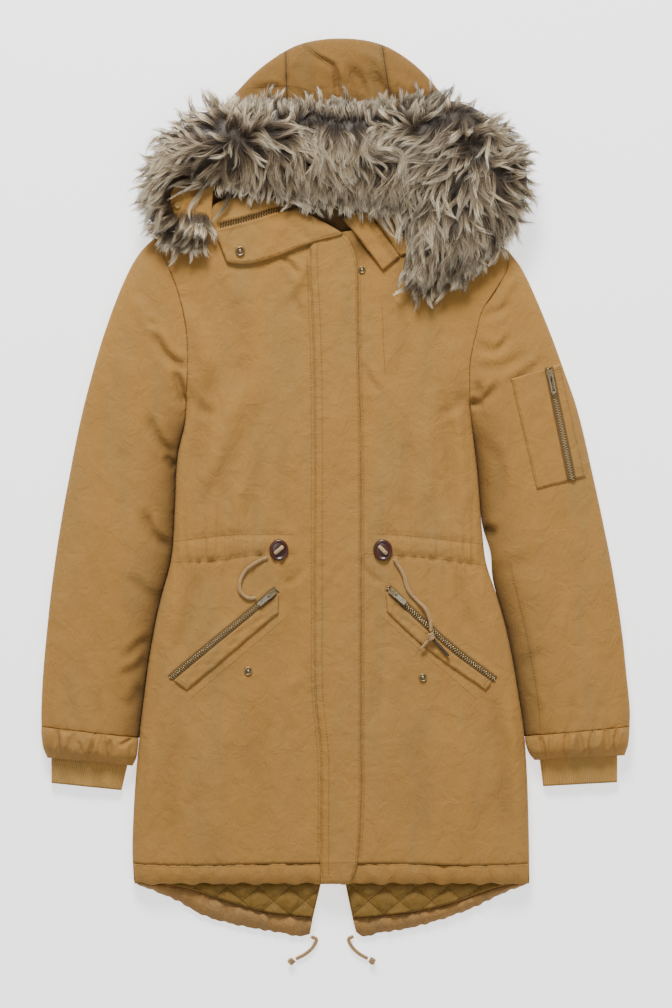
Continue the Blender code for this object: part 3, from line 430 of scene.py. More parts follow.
def cloth_material(name, colour, seams=0, rough=0.78, sheen=0.04, weave=0.06, wear=1.0, rib=False, vary=0.10):
    """Woven cotton: a colour that varies a little, twill and crumple in the bump, and lines of stitching.
    Each seam attribute holds the distance across it, the length along it and its kind, in mm."""
    m, t, bsdf = nodes_of(name)
    f = Maths(t)
    place = t.nodes.new("ShaderNodeTexCoord").outputs["Object"]
    height = f("MULTIPLY", f.noise(f.scaled(place, (1, 0.8, 1)), 50, 5.0, 0.62, 0.7), 2.7 * wear)
    height = f("ADD", height, f("MULTIPLY", f.noise(f.scaled(place, (1.4, 0.5, 1)), 150, 4.0, 0.62, 0.9),
                                0.75 * wear))
    sep = t.nodes.new("ShaderNodeSeparateXYZ")
    t.links.new(place, sep.inputs[0])
    diag = f("ADD", f("MULTIPLY", sep.outputs[0], 5200), f("MULTIPLY", sep.outputs[1], 5200))
    twill = f("SINE", diag)
    height = f("ADD", height, f("MULTIPLY", twill, weave * 0.5))
    fine = f.noise(place, 2600, 2.0, 0.7)
    height = f("ADD", height, f("MULTIPLY", fine, weave))
    shade = f("ADD", f("MULTIPLY", f.noise(place, 9, 3.0, 0.6), vary),
              f("MULTIPLY", f.noise(f.scaled(place, (1.6, 0.35, 1)), 42, 4.0, 0.65), vary * 0.8))
    shade = f("ADD", shade, f("MULTIPLY", fine, 0.05))
    shade = f("SUBTRACT", shade, vary * 0.9 + 0.025)
    dark = None
    for k in range(seams):
        at = t.nodes.new("ShaderNodeAttribute")
        at.attribute_name = "seam%d" % k
        s3 = t.nodes.new("ShaderNodeSeparateXYZ")
        t.links.new(at.outputs["Vector"], s3.inputs[0])
        d, s, kind = s3.outputs[0], s3.outputs[1], s3.outputs[2]
        # kind is the seam's length, negative for a line of stitching with no joint
        long = f("ABSOLUTE", kind)
        inside = f("MULTIPLY", f("GREATER_THAN", s, 0.0), f("LESS_THAN", s, long))
        joint = f("MULTIPLY", f("GREATER_THAN", kind, 0.0), inside)
        far = f("ABSOLUTE", d)
        groove = f("MULTIPLY", f("SUBTRACT", 1.0, f("DIVIDE", far, 1.5), clamp=True), joint)
        off = f("ADD", f("ABSOLUTE", f("SUBTRACT", far, f("MULTIPLY", f("GREATER_THAN", kind, 0.0), 2.6))),
                0.0)
        line = f("MULTIPLY", f("SUBTRACT", 1.0, f("DIVIDE", off, 1.15), clamp=True), inside)
        dash = f("SINE", f("MULTIPLY", s, 2 * math.pi / 3.6))
        dash = f("MULTIPLY", line, f("ADD", f("MULTIPLY", dash, 0.5), 0.5))
        pull = f("DIVIDE", 1.0, f("ADD", 1.0, f("POWER", f("DIVIDE", far, 5.0), 2.0)))
        combine = t.nodes.new("ShaderNodeCombineXYZ")
        t.links.new(f("MULTIPLY", s, 0.13), combine.inputs[0])
        t.links.new(f("MULTIPLY", d, 0.05), combine.inputs[1])
        pucker = f("MULTIPLY", f("MULTIPLY", f.noise(combine.outputs[0], 1.0, 2.0, 0.6), pull), inside)
        h = f("SUBTRACT", f("MULTIPLY", pucker, 1.15),
              f("ADD", f("MULTIPLY", groove, 0.7), f("MULTIPLY", line, 0.40)))
        h = f("ADD", h, f("MULTIPLY", dash, 0.35))
        height = f("ADD", height, h)
        tone = f("ADD", f("MULTIPLY", groove, 0.20),
                 f("ADD", f("MULTIPLY", line, 0.17), f("MULTIPLY", dash, 0.10)))
        tone = f("ADD", tone, f("MULTIPLY", f("SUBTRACT", pull, pucker), f("MULTIPLY", inside, 0.05)))
        dark = tone if dark is None else f("ADD", dark, tone)
    if rib:
        at = t.nodes.new("ShaderNodeAttribute")
        at.attribute_name = "seam0"
        s3 = t.nodes.new("ShaderNodeSeparateXYZ")
        t.links.new(at.outputs["Vector"], s3.inputs[0])
        ribs = f("SINE", f("MULTIPLY", s3.outputs[0], 2 * math.pi / 2.5))
        loops = f("SINE", f("ADD", f("MULTIPLY", s3.outputs[1], 2 * math.pi / 1.9), f("MULTIPLY", ribs, 1.2)))
        height = f("ADD", height, f("ADD", f("MULTIPLY", ribs, 0.32), f("MULTIPLY", loops, 0.10)))
        dark = f("ADD", f("MULTIPLY", ribs, -0.09), f("MULTIPLY", loops, -0.03))
    if dark is not None:
        shade = f("SUBTRACT", shade, dark)
    # painted shade: a per-point attribute darkens the colour where shade falls, in creases, hollows and under
    # other parts
    painted_shade = t.nodes.new("ShaderNodeAttribute")
    painted_shade.attribute_name = "painted_shade"
    gain = f("MULTIPLY", f("ADD", 1.0, shade), f("SUBTRACT", 1.0, painted_shade.outputs["Fac"]))
    olive = t.nodes.new("ShaderNodeMix")
    olive.data_type = "RGBA"
    olive.inputs["A"].default_value = (*colour, 1)
    olive.inputs["B"].default_value = (colour[0] * 0.80, colour[1] * 0.97, colour[2] * 1.30, 1)
    cloud = f("MULTIPLY", f("SUBTRACT", f.noise(f.scaled(place, (2.3, 0.36, 1)), 12, 4.0, 0.62, 0.5), 0.42),
              3.2, clamp=True)
    t.links.new(f("MULTIPLY", cloud, 0.62), olive.inputs["Factor"])
    mix = t.nodes.new("ShaderNodeVectorMath")
    mix.operation = "SCALE"
    t.links.new(olive.outputs["Result"], mix.inputs[0])
    t.links.new(gain, mix.inputs["Scale"])
    t.links.new(mix.outputs[0], bsdf.inputs["Base Color"])
    bump = t.nodes.new("ShaderNodeBump")
    bump.inputs["Strength"].default_value = 1.0
    bump.inputs["Distance"].default_value = 0.001
    t.links.new(height, bump.inputs["Height"])
    t.links.new(bump.outputs[0], bsdf.inputs["Normal"])
    bsdf.inputs["Roughness"].default_value = rough
    bsdf.inputs["Sheen Weight"].default_value = sheen
    bsdf.inputs["Sheen Roughness"].default_value = 0.5
    bsdf.inputs["Specular IOR Level"].default_value = 0.12
    return m


SHELL = (0.330, 0.167, 0.041)
LINING = (0.175, 0.096, 0.017)
KNIT = (0.44, 0.235, 0.060)
SHELL_MAT = [cloth_material("cotton_%d" % k, SHELL, k) for k in range(7)]
# painted shade: the hood's cotton is the shell's colour darkened to 0.58, a shaded copy of the same cloth
HOOD_SHADED_MAT = [cloth_material("hood_cotton_painted_shade_%d" % k, tuple(c * 0.58 for c in SHELL), k, wear=1.3)
            for k in range(6)]


def metal_material(name, colour, rough, dark=0.5):
    m, t, bsdf = nodes_of(name)
    f = Maths(t)
    place = t.nodes.new("ShaderNodeTexCoord").outputs["Object"]
    n = f.noise(place, 900, 3.0, 0.6)
    gain = f("ADD", 1.0 - dark * 0.5, f("MULTIPLY", n, dark))
    mix = t.nodes.new("ShaderNodeVectorMath")
    mix.operation = "SCALE"
    mix.inputs[0].default_value = colour
    t.links.new(gain, mix.inputs["Scale"])
    t.links.new(mix.outputs[0], bsdf.inputs["Base Color"])
    bump = t.nodes.new("ShaderNodeBump")
    bump.inputs["Distance"].default_value = 0.00008
    t.links.new(f.noise(place, 2400, 2.0, 0.5), bump.inputs["Height"])
    t.links.new(bump.outputs[0], bsdf.inputs["Normal"])
    bsdf.inputs["Metallic"].default_value = 1.0
    bsdf.inputs["Roughness"].default_value = rough
    return m


BRASS = metal_material("antique_brass", rgb(150, 132, 100), 0.36, 0.6)
NICKEL = metal_material("worn_nickel", rgb(176, 164, 140), 0.26, 0.5)
DARK_METAL = metal_material("dark_metal", rgb(74, 66, 52), 0.45, 0.5)


# ---------------------------------------------------------------- mesh building
def put(name, verts, faces, mats, smooth=True, replaces=(), body="coat"):
    mesh = bpy.data.meshes.new(name)
    v = np.asarray(verts, np.float32) * MM
    faces = np.asarray(faces, np.int32)
    mesh.vertices.add(len(v))
    mesh.vertices.foreach_set("co", v.ravel())
    n = faces.shape[1]
    mesh.loops.add(len(faces) * n)
    mesh.loops.foreach_set("vertex_index", faces.ravel())
    mesh.polygons.add(len(faces))
    mesh.polygons.foreach_set("loop_start", np.arange(0, len(faces) * n, n, dtype=np.int32))
    mesh.polygons.foreach_set("loop_total", np.full(len(faces), n, np.int32))
    mesh.update(calc_edges=True)
    mesh.validate()
    if smooth:
        mesh.shade_smooth()
    for m in mats if isinstance(mats, (list, tuple)) else [mats]:
        mesh.materials.append(m)
    ob = bpy.data.objects.new(name, mesh)
    bpy.context.scene.collection.objects.link(ob)
    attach(ob, body)
    if replaces:
        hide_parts(*([replaces] if isinstance(replaces, str) else replaces))
    return ob


def shell(name, X, Y, Z, low, seams=(), mat=None, replaces=(), inward=8.0, flip=False,
          sheet=None, painted_shade=None):
    """A sheet of cloth with its edges turned down: a grid of points, and the height its rim goes to."""
    rows, cols = X.shape
    idx = np.arange(rows * cols).reshape(rows, cols)
    quads = np.stack([idx[:-1, :-1], idx[:-1, 1:], idx[1:, 1:], idx[1:, :-1]], axis=-1).reshape(-1, 4)
    area2 = ((X[0, -1] - X[0, 0]) * (Y[-1, 0] - Y[0, 0]) - (Y[0, -1] - Y[0, 0]) * (X[-1, 0] - X[0, 0]))
    turn = (area2 > 0) == flip        # faces look up unless flip
    if turn:
        quads = quads[:, ::-1]
    ring = np.concatenate([idx[0, :-1], idx[:-1, -1], idx[-1, :0:-1], idx[:0:-1, 0]])
    P = np.stack([X.ravel(), Y.ravel(), Z.ravel()], axis=1)
    edge = P[ring]
    low_z = low(edge[:, 0], edge[:, 1]) if callable(low) else np.full(len(ring), float(low))
    prev, nxt = np.roll(edge, 3, axis=0), np.roll(edge, -3, axis=0)
    tan = (nxt - prev)[:, :2]
    tan /= np.maximum(np.linalg.norm(tan, axis=1), 1e-9)[:, None]
    nrm = np.stack([-tan[:, 1], tan[:, 0]], axis=1)
    mid = edge[:, :2].mean(axis=0)
    sign = 1.0 if (nrm * (mid - edge[:, :2])).sum() > 0 else -1.0
    r1 = np.column_stack([edge[:, :2], low_z])
    r2 = np.column_stack([edge[:, :2] + nrm * sign * inward, low_z])
    base_i = len(P)
    P = np.concatenate([P, r1, r2])
    n = len(ring)
    a, b = ring, np.roll(ring, -1)
    c = base_i + np.arange(n)
    d = np.roll(c, -1)
    e, g = c + n, d + n
    rim = np.concatenate([np.stack([a, b, d, c], axis=1), np.stack([c, d, g, e], axis=1)])
    rim = rim if turn else rim[:, ::-1]
    faces = np.concatenate([quads, rim])
    if mat is None:
        mat = SHELL_MAT[len(seams)]
    ob = put(name, P, faces, mat, replaces=replaces)
    add_seams(ob, P, seams)
    # painted shade: the per-point darkening goes onto the top, the rim and the turned edge alike
    if painted_shade is not None:
        dark = np.concatenate([painted_shade.ravel(), painted_shade.ravel()[ring], painted_shade.ravel()[ring]])
        ob.data.attributes.new("painted_shade", "FLOAT", "POINT").data.foreach_set("value", dark.astype(np.float32))
    if sheet:
        faces_area = np.empty(len(ob.data.polygons), np.float32)
        ob.data.polygons.foreach_get("area", faces_area)
        flatp = np.stack([X.ravel(), Y.ravel()], 1)
        best = None
        for turn_ in np.linspace(0, math.pi / 2, 37)[:-1]:
            c_, s_ = math.cos(turn_), math.sin(turn_)
            w = float(np.ptp(flatp @ np.array([c_, s_]))) * MM
            l = float(np.ptp(flatp @ np.array([-s_, c_]))) * MM
            if best is None or w * l < best[0] * best[1]:
                best = (w, l)
        w, l = best
    return ob


def add_seams(ob, P, seams):
    for k, seam in enumerate(seams):
        line, kind = (seam if isinstance(seam, tuple) else (seam, 1))
        d, s, total = along(P[:, 0], P[:, 1], line)
        data = ob.data.attributes.new("seam%d" % k, "FLOAT_VECTOR", "POINT")
        vec = np.stack([d, s, np.full(len(d), total * kind)], axis=1).astype(np.float32)
        data.data.foreach_set("vector", vec.ravel())


def lerp_grid(edge_a, edge_b, rows, cols, start=0.0, stop=1.0):
    a, b = through(edge_a, cols, start, stop), through(edge_b, cols, start, stop)
    t = np.linspace(0, 1, rows)[:, None, None]
    g = a[None] * (1 - t) + b[None] * t
    return g[..., 0], g[..., 1]


# ---------------------------------------------------------------- the body's panels
def body_grid(side, armhole, upper, lower, centre, rows, cols, inset=0.06):
    sign = -1 if side[0][1] < 0 else 1
    j = np.linspace(0, 1, cols)
    u = 0.45 * (0.5 - 0.5 * np.cos(math.pi * j)) + 0.55 * j
    v = np.linspace(0, 1, rows)[:, None]
    Y = follow(upper, u)[None] * (1 - v) + follow(lower, u)[None] * v
    x0 = np.where(Y > armhole[-1][0], follow(armhole, Y), follow(side, Y)) - sign * inset
    X = x0 * (1 - u)[None] + centre(Y) * u[None]
    return X, Y


for side, hole, shoulder, word, sign in ((SIDE_RIGHT, ARMHOLE_RIGHT, SHOULDER_RIGHT, "right", -1),
                                         (SIDE_LEFT, ARMHOLE_LEFT, SHOULDER_LEFT, "left", 1)):
    X, Y = body_grid(side, hole, shoulder + FRONT_NECK, FRONT_SEAM, lambda y, s=sign: 2.0 + s * 0.35 + 0 * y,
                     226, 80)
    hy = np.linspace(hole[0][0], hole[-1][0], 30)
    arm = np.stack([follow(hole, hy), hy], axis=1)
    seams = [waist_line(word, True), waist_line(word, False)]
    seams = [(seams[0], -1), (seams[1], -1), (arm, -1)]
    seams.append((np.array([(-58, -159), (-181, -264)]) if word == "right"
                  else np.array([(54, -159), (176, -264)]), -1))
    if word == "right":
        seams.append((through([(-36, 300), (-34, 240), (-31, 160), (-30, 85), (-30, -140), (-28, -275),
                               (-23, -320),
                               (-22, -460)], 30), -1))
    else:
        seams.append((np.array([(58, 226), (60, 180), (62, 142)]), -1))
        # painted shadow: a joint with its dark groove laid just beside the placket's free edge, standing for
        # the shadow the placket casts on the left front
        beside = np.linspace(PLACKET[0][0], -462.0, 40)
        seams.append((np.stack([follow(PLACKET, beside, 2) + 0.9, beside], 1)[::-1], 1))
    Z = body_top(X, Y)
    off, run, total = along(X, Y, through(POCKETS[word], 12))
    lips = (run > -3) & (run < total + 3)
    Z = Z + np.where(lips, 1.5 * np.exp(-((np.abs(off) - 6.4) / 1.7) ** 2) - 0.6 * np.exp(-(off / 4.0) ** 2),
                     0)
    Z = (Z - 0.45 * np.exp(-to_line(X, Y, arm) / 4.2)
         - (1.0 + 0.6 * np.sin(X * 0.37 + 2 * np.sin(X * 0.09))) * np.exp(-np.clip(Y + 470.5, 0, None) / 3.4))
    hollow = np.exp(-((X - 38) / 16) ** 2 - ((Y - 305) / 20) ** 2)
    Z = Z - 3.6 * hollow
    folds = creases(X, Y, BODY_FOLDS)
    # painted shade in the troughs of the folds, and a painted shadow in the hollow by the left collar
    shell("front_" + word + "_cloth", X, Y, Z, 11.4, seams=seams, replaces="front_" + word,
          painted_shade=np.clip(0.07 * np.clip(-folds, 0, 3) + (0.85 if sign > 0 else 0.1) * hollow, 0, 0.6),
          sheet=("laid", ["back_" + word + "_cloth"]))

    # hem casing of the front, gathered a little by its cord
    cols = 110
    u = np.linspace(0, 1, cols)
    y0 = follow(FRONT_SEAM, u) - 0.15
    xs0 = follow(side, y0) - sign * 0.35
    x0 = xs0 * (1 - u) + (2.0 + sign * 0.35) * u
    wob = 0.9 * np.sin(u * 61 + (0 if sign < 0 else 2)) + 0.7 * np.sin(u * 37 + 1)
    y1 = -495.0 + wob
    xs1 = follow(side, y1) - sign * 2.0
    x1 = xs1 * (1 - u) + (2.0 + sign * 0.35) * u
    t = np.linspace(0, 1, 14)[:, None]
    X = x0 * (1 - t) + x1 * t
    Y = y0 * (1 - t) + y1 * t
    base, ease = top(X, Y)
    Z = FRONT_LOW + (np.minimum(base, 26.5) - FRONT_LOW) * (1 - 0.66 * np.clip(t - 0.25, 0, 1) ** 2.4)
    Z = Z + ease * (0.8 * np.sin(math.pi * t) * (1 + 0.55 * np.sin(X * 0.31 + 2 * np.sin(X * 0.07)) )
                    + 0.5 * waves(X, Y, 18, 11, (0.8, 2.2)) - 0.8 * np.exp(-(t / 0.1) ** 2))
    shell("hem_front_" + word + "_cloth", X, Y, Z, 12.9, seams=[np.stack([x0, y0], 1)[2:-2]],
          replaces="hem_front_" + word, inward=5.0, sheet=("gathered", ["back_" + word + "_cloth"]))


def slit(sign):
    spread = 0.236 if sign < 0 else 0.208
    return lambda y: -2.0 + sign * (0.04 + spread * np.clip(-427.0 - y, 0, None))


def under(X, Y):
    return FOLD_LOW * (1 - swell(to_fold(X, Y), 12.0))


def lining_material():
    """Glossy lining quilted in diamonds: the attribute holds the two diagonal coordinates, in mm."""
    m, t, bsdf = nodes_of("quilted_lining")
    f = Maths(t)
    place = t.nodes.new("ShaderNodeTexCoord").outputs["Object"]
    at = t.nodes.new("ShaderNodeAttribute")
    at.attribute_name = "seam0"
    s3 = t.nodes.new("ShaderNodeSeparateXYZ")
    t.links.new(at.outputs["Vector"], s3.inputs[0])
    dark = None
    for k in (0, 1):
        q = f("ABSOLUTE", f("SUBTRACT", f("FRACT", f("DIVIDE", s3.outputs[k], 34.0)), 0.5))
        far = f("MULTIPLY", f("SUBTRACT", 0.5, q), 34.0)
        line = f("SUBTRACT", 1.0, f("DIVIDE", far, 1.3), clamp=True)
        dash = f("MULTIPLY", line, f("ADD", f("MULTIPLY", f("SINE", f("MULTIPLY", s3.outputs[1 - k], 1.9)),
                                              0.3), 0.7))
        dark = dash if dark is None else f("ADD", dark, dash)
    crumple = f.noise(f.scaled(place, (1, 0.6, 1)), 95, 4.0, 0.6, 1.2)
    height = f("SUBTRACT", f("MULTIPLY", crumple, 1.8), f("MULTIPLY", dark, 0.7))
    gain = f("ADD", 0.72, f("SUBTRACT", f("MULTIPLY", crumple, 0.5), f("MULTIPLY", dark, 0.28)))
    mix = t.nodes.new("ShaderNodeVectorMath")
    mix.operation = "SCALE"
    mix.inputs[0].default_value = LINING
    t.links.new(gain, mix.inputs["Scale"])
    t.links.new(mix.outputs[0], bsdf.inputs["Base Color"])
    bump = t.nodes.new("ShaderNodeBump")
    bump.inputs["Distance"].default_value = 0.001
    t.links.new(height, bump.inputs["Height"])
    t.links.new(bump.outputs[0], bsdf.inputs["Normal"])
    bsdf.inputs["Roughness"].default_value = 0.58
    bsdf.inputs["Specular IOR Level"].default_value = 0.2
    return m


QUILT = lining_material()
for side, hole, shoulder, seam, tail, word, sign in (
        (SIDE_RIGHT, ARMHOLE_RIGHT, SHOULDER_RIGHT, TAIL_SEAM_RIGHT, TAIL_RIGHT, "right", -1),
        (SIDE_LEFT, ARMHOLE_LEFT, SHOULDER_LEFT, TAIL_SEAM_LEFT, TAIL_LEFT, "left", 1)):
    X, Y = body_grid(side, hole, shoulder + BACK_NECK, seam, slit(sign), 150, 50)
    d = to_fold(X, Y)
    Z = under(X, Y) + np.clip(0.25 * waves(X, Y, 60, 8) - 0.1, 0, 1) * np.clip(d / 20 - 0.6, 0, 1)
    hy = np.linspace(hole[0][0], hole[-1][0], 30)
    arm = np.stack([follow(hole, hy), hy], axis=1)
    centre = np.stack([-2.0 + 0 * np.linspace(0, 1, 8), np.linspace(340, -427, 8)], 1)
    waist_lo, waist_hi = waist_line(word, True), waist_line(word, False)
    shell("back_" + word + "_cloth", X, Y, Z, 11.2, seams=[(waist_lo, -1), (waist_hi, -1), (arm, -1), centre],
          replaces="back_" + word, flip=True, inward=10.0, sheet=("laid", []))
    # casing of the tail, gathered by its cord: its facing shows on this side
    cols = 120
    a = through(np.stack([X[-1], Y[-1] - 0.15], 1), cols)
    b = through(tail, cols)
    u = np.linspace(0, 1, cols)[None]
    t = np.linspace(0, 1, 15)[:, None]
    CX = a[None, :, 0] * (1 - t) + b[None, :, 0] * t
    CY = a[None, :, 1] * (1 - t) + b[None, :, 1] * t
    ripple = np.sin(CX * 0.33 + 1.7 * np.sin(CX * 0.06 + sign)) * 0.6 + 0.5 * np.sin(CX * 0.56 + 1)
    CY = CY - 0.9 * t**2 * (1 + ripple) + 0.9 * t**2
    wide = np.clip(np.hypot(a[:, 0] - b[:, 0], a[:, 1] - b[:, 1]) / 14, 0.15, 1)[None]
    CZ = 9.2 - 4.6 * t**3 + wide * (2.2 * np.sin(math.pi * np.clip(t * 1.05, 0, 1)) * (1 + 0.5 * ripple)
                                    - 1.2 * np.exp(-(t / 0.12) ** 2)) + 0.35 * waves(CX, CY, 9, 21, (0.7, 2))
    seamline = np.stack([CX[0], CY[0]], 1)
    shell("hem_back_" + word + "_cloth", CX, CY, CZ, lambda x, y: 0.4 + 0 * x, seams=[seamline[2:-2]],
          replaces="hem_back_" + word, inward=4.0, sheet=("gathered", []),
          mat=cloth_material("tail_facing_" + word, rgb(150, 112, 64), 1, vary=0.2, wear=1.6))
    # quilted lining on the tail
    inner = [(y, x + (6.0 if sign < 0 else -6.0)) for y, x in side]
    LX, LY = body_grid(inner, [(1e4, 0), (9e3, 0)], [(0, -392), (1, -392)],
                       [(u_, y_ + 0.4) for u_, y_ in seam],
                       lambda y, e=slit(sign), s=sign: e(y) + s * 1.5, 50, 84)
    A = (LX + 1.16 * LY) / math.hypot(1, 1.16) * 1.32 + 6
    B = (LX - 1.16 * LY) / math.hypot(1, 1.16) * 1.32 - 9
    pa = np.abs(np.mod(A / 34.0, 1) - 0.5) * 2
    pb = np.abs(np.mod(B / 34.0, 1) - 0.5) * 2
    puff = (1 - pa**3) * (1 - pb**3)
    hidden = np.clip((-490 - LY) / 6, 0, 1)
    LZ = 11.9 + (3.4 * hidden + 0.6) * puff + 0.4 * hidden * waves(LX, LY, 12, 31)
    LZ = np.clip(LZ, 11.8, np.where(LY > -497, 12.8, 16.0))
    ob = shell("lining_" + word + "_cloth", LX, LY, LZ, BACK_TOP + 0.3, mat=QUILT,
               replaces="lining_" + word, inward=3.0, sheet=("laid", ["back_" + word + "_cloth"]))
    co = np.empty(len(ob.data.vertices) * 3, np.float32)
    ob.data.vertices.foreach_get("co", co)
    co = co.reshape(-1, 3) / MM
    data = ob.data.attributes.new("seam0", "FLOAT_VECTOR", "POINT")
    va = (co[:, 0] + 1.16 * co[:, 1]) / math.hypot(1, 1.16) * 1.32 + 6
    vb = (co[:, 0] - 1.16 * co[:, 1]) / math.hypot(1, 1.16) * 1.32 - 9
    data.data.foreach_set("vector", np.stack([va, vb, 0 * va], 1).astype(np.float32).ravel())

# ---------------------------------------------------------------- sleeves
def loop_tube(name, PX, PY, ZT, ZB, seams, mat=None, replaces=(), middle=11.8,
              painted_shade=None):
    """A flattened tube: rows along it, columns across it, with its upper and under skin."""
    cols = PX.shape[1]
    up = np.stack([PX, PY, ZT], -1)
    dn = np.stack([PX, PY, ZB], -1)[:, ::-1]
    ring = np.concatenate([up, dn], axis=1)
    cen = ring.mean(axis=1, keepdims=True)
    first = ring[0].copy()
    first[:, 2] = middle + (ring[0][:, 2] - middle) * 0.3
    last = ring[-1].copy()
    last[:, 2] = middle + (ring[-1][:, 2] - middle) * 0.3
    last[:, :2] = cen[-1][:, :2] + (last[:, :2] - cen[-1][:, :2]) * 0.97
    ring = np.concatenate([first[None], ring, last[None]])
    R, C = ring.shape[:2]
    idx = np.arange(R * C).reshape(R, C)
    nx = np.roll(idx, -1, axis=1)
    quads = np.stack([idx[:-1], nx[:-1], nx[1:], idx[1:]], -1).reshape(-1, 4)
    P = ring.reshape(-1, 3)
    nrm = np.cross(P[idx[R // 2, cols // 2 + 1]] - P[idx[R // 2, cols // 2]],
                   P[idx[R // 2 + 1, cols // 2]] - P[idx[R // 2, cols // 2]])
    if nrm[2] < 0:
        quads = quads[:, ::-1]
    ob = put(name, P, quads, mat or SHELL_MAT[len(seams)], replaces=replaces)
    add_seams(ob, P, seams)
    # painted shade on the upper skin only, none on the under skin
    if painted_shade is not None:
        dark = np.concatenate([painted_shade, 0 * painted_shade[:, ::-1]], axis=1)
        dark = np.concatenate([dark[:1], dark, dark[-1:]])
        ob.data.attributes.new("painted_shade", "FLOAT", "POINT").data.foreach_set("value",
                                                                          dark.ravel().astype(np.float32))
    faces_area = np.empty(len(ob.data.polygons), np.float32)
    ob.data.polygons.foreach_get("area", faces_area)
    return ob


for table, hole, side, word, sign, inner_side in (
        (SLEEVE_RIGHT, ARMHOLE_RIGHT, SIDE_RIGHT, "right", -1, SIDE_R),
        (SLEEVE_LEFT, ARMHOLE_LEFT, SIDE_LEFT, "left", 1, SIDE_L)):
    rows, cols = 156, 56
    k = np.linspace(0, len(table) - 1, rows)
    tab = np.array(table, float)
    kk = np.arange(len(tab))
    ox, oy, iy = [follow(list(zip(kk, tab[:, c])), k) for c in range(3)]
    y_top, y_pit = hole[0][0], hole[-1][0]
    ix = follow(side, np.minimum(iy, y_pit)) + sign * 0.06
    if word == "left":
        ix = ix + 8.0 * np.exp(-((iy + 84) / 26) ** 2)
    keep = np.clip(1 - k / 4.0, 0, 1)[:, None] ** 1.5
    s = (0.5 - 0.5 * np.cos(math.pi * np.linspace(0, 1, cols)))[None]
    PX = ox[:, None] * (1 - s) + ix[:, None] * s
    PY = oy[:, None] * (1 - s) + iy[:, None] * s
    hy = y_top * (1 - s) + y_pit * s
    bow = follow(hole, hy) - sign * 0.3 - (hole[0][1] * (1 - s) + (hole[-1][1] - sign * 0.3) * s)
    PX = PX + bow * keep
    Z, ease = top(PX, PY)
    # under the body's edge the sleeve falls away
    inner = to_line(PX, PY, inner_side)
    outer = to_line(PX, PY, OUTER_R if sign < 0 else OUTER_L)
    soft = swell(inner, 48.0, 1.7)
    gentle = 9.0 + (FOLD_TOP + PAD_RISE * swell(outer, PAD_REACH) - 9.0) * soft
    hy2 = np.linspace(hole[0][0], hole[-1][0], 30)
    arm = np.stack([follow(hole, hy2), hy2], axis=1)
    from_arm = to_line(PX, PY, arm)
    blend = np.clip(from_arm / 46, 0, 1)
    Z = Z * (1 - blend) + np.minimum(gentle, Z + 1) * blend
    folds = creases(PX, PY, SLEEVE_FOLDS)
    from_band = to_line(PX, PY, [(table[-1][0], table[-1][1]), (ix[-1], table[-1][2])])
    Z = Z - 0.45 * np.exp(-from_arm / 4.2) - (1.0 + 0.6 * np.sin(PX * 0.33 + sign)) * np.exp(-from_band / 3.6)
    # painted shade along the inner edge where the sleeve runs under the body, and in the troughs of its folds
    shade = np.clip(0.78 * np.exp(-inner / 18) * blend + 0.08 * np.clip(-folds, 0, 3) * np.exp(-inner / 60),
                    0, 0.76)
    Z = Z + np.clip(outer / 16, 0.15, 1) * np.clip(inner / 6 + 0.55, 0.55, 1) * (
        1.6 * folds + 0.75 * waves(PX, PY, 70, 13, (1.0, 1.8)) + 0.42 * waves(PX, PY, 28, 15, (1, 1.4)))
    Z = np.maximum(Z, 8.6)
    low = under(PX, PY)
    low = np.minimum(low, Z - 1.5)
    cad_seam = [(arm, -1)]
    if word == "left":
        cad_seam.append((through([(218, -97), (241.6, -200), (255, -289), (256, -308)], 16), -1))
    loop_tube("sleeve_" + word + "_cloth", PX, PY, Z, low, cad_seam, replaces="sleeve_" + word,
              mat=SHELL_MAT[len(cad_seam)], painted_shade=shade)


def end_tube(name, rowsdata, rows, cols, mat, replaces, bumps, seams=(), rib=False):
    tab = np.array(rowsdata, float)
    k = np.linspace(0, len(tab) - 1, rows)
    kk = np.arange(len(tab))
    ox, oy, ix, iy, hh = [follow(list(zip(kk, tab[:, c])), k) for c in range(5)]
    s = (0.5 - 0.5 * np.cos(math.pi * np.linspace(0, 1, cols)))[None]
    PX = ox[:, None] * (1 - s) + ix[:, None] * s
    PY = oy[:, None] * (1 - s) + iy[:, None] * s
    width = np.hypot(ox - ix, oy - iy)[:, None]
    d = np.minimum(s, 1 - s) * width
    H = hh[:, None]
    ZT = H * 0.55 + H * 0.45 * swell(d, np.minimum(30.0, H * 1.2))
    ZB = H * 0.32 * (1 - swell(d, 10.0))
    t = np.linspace(0, 1, rows)[:, None]
    ZT = ZT + bumps(PX, PY, s, t) * np.clip(d / 10, 0, 1)
    ob = loop_tube(name, PX, PY, ZT, ZB, seams, mat, replaces,
                   middle=float(H.mean()) * 0.44)
    if rib:
        co = np.empty(len(ob.data.vertices) * 3, np.float32)
        ob.data.vertices.foreach_get("co", co)
        co = co.reshape(-1, 3) / MM
        a0 = np.array([ox[0] + ix[0], oy[0] + iy[0]]) / 2
        a1 = np.array([ox[-1] + ix[-1], oy[-1] + iy[-1]]) / 2
        dn = (a1 - a0) / np.linalg.norm(a1 - a0)
        ac = np.array([-dn[1], dn[0]])
        rel = co[:, :2] - a0
        data = ob.data.attributes.new("seam0", "FLOAT_VECTOR", "POINT")
        data.data.foreach_set("vector", np.stack([rel @ ac, rel @ dn, 0 * rel[:, 0]],
                                                 1).astype(np.float32).ravel())
    return ob


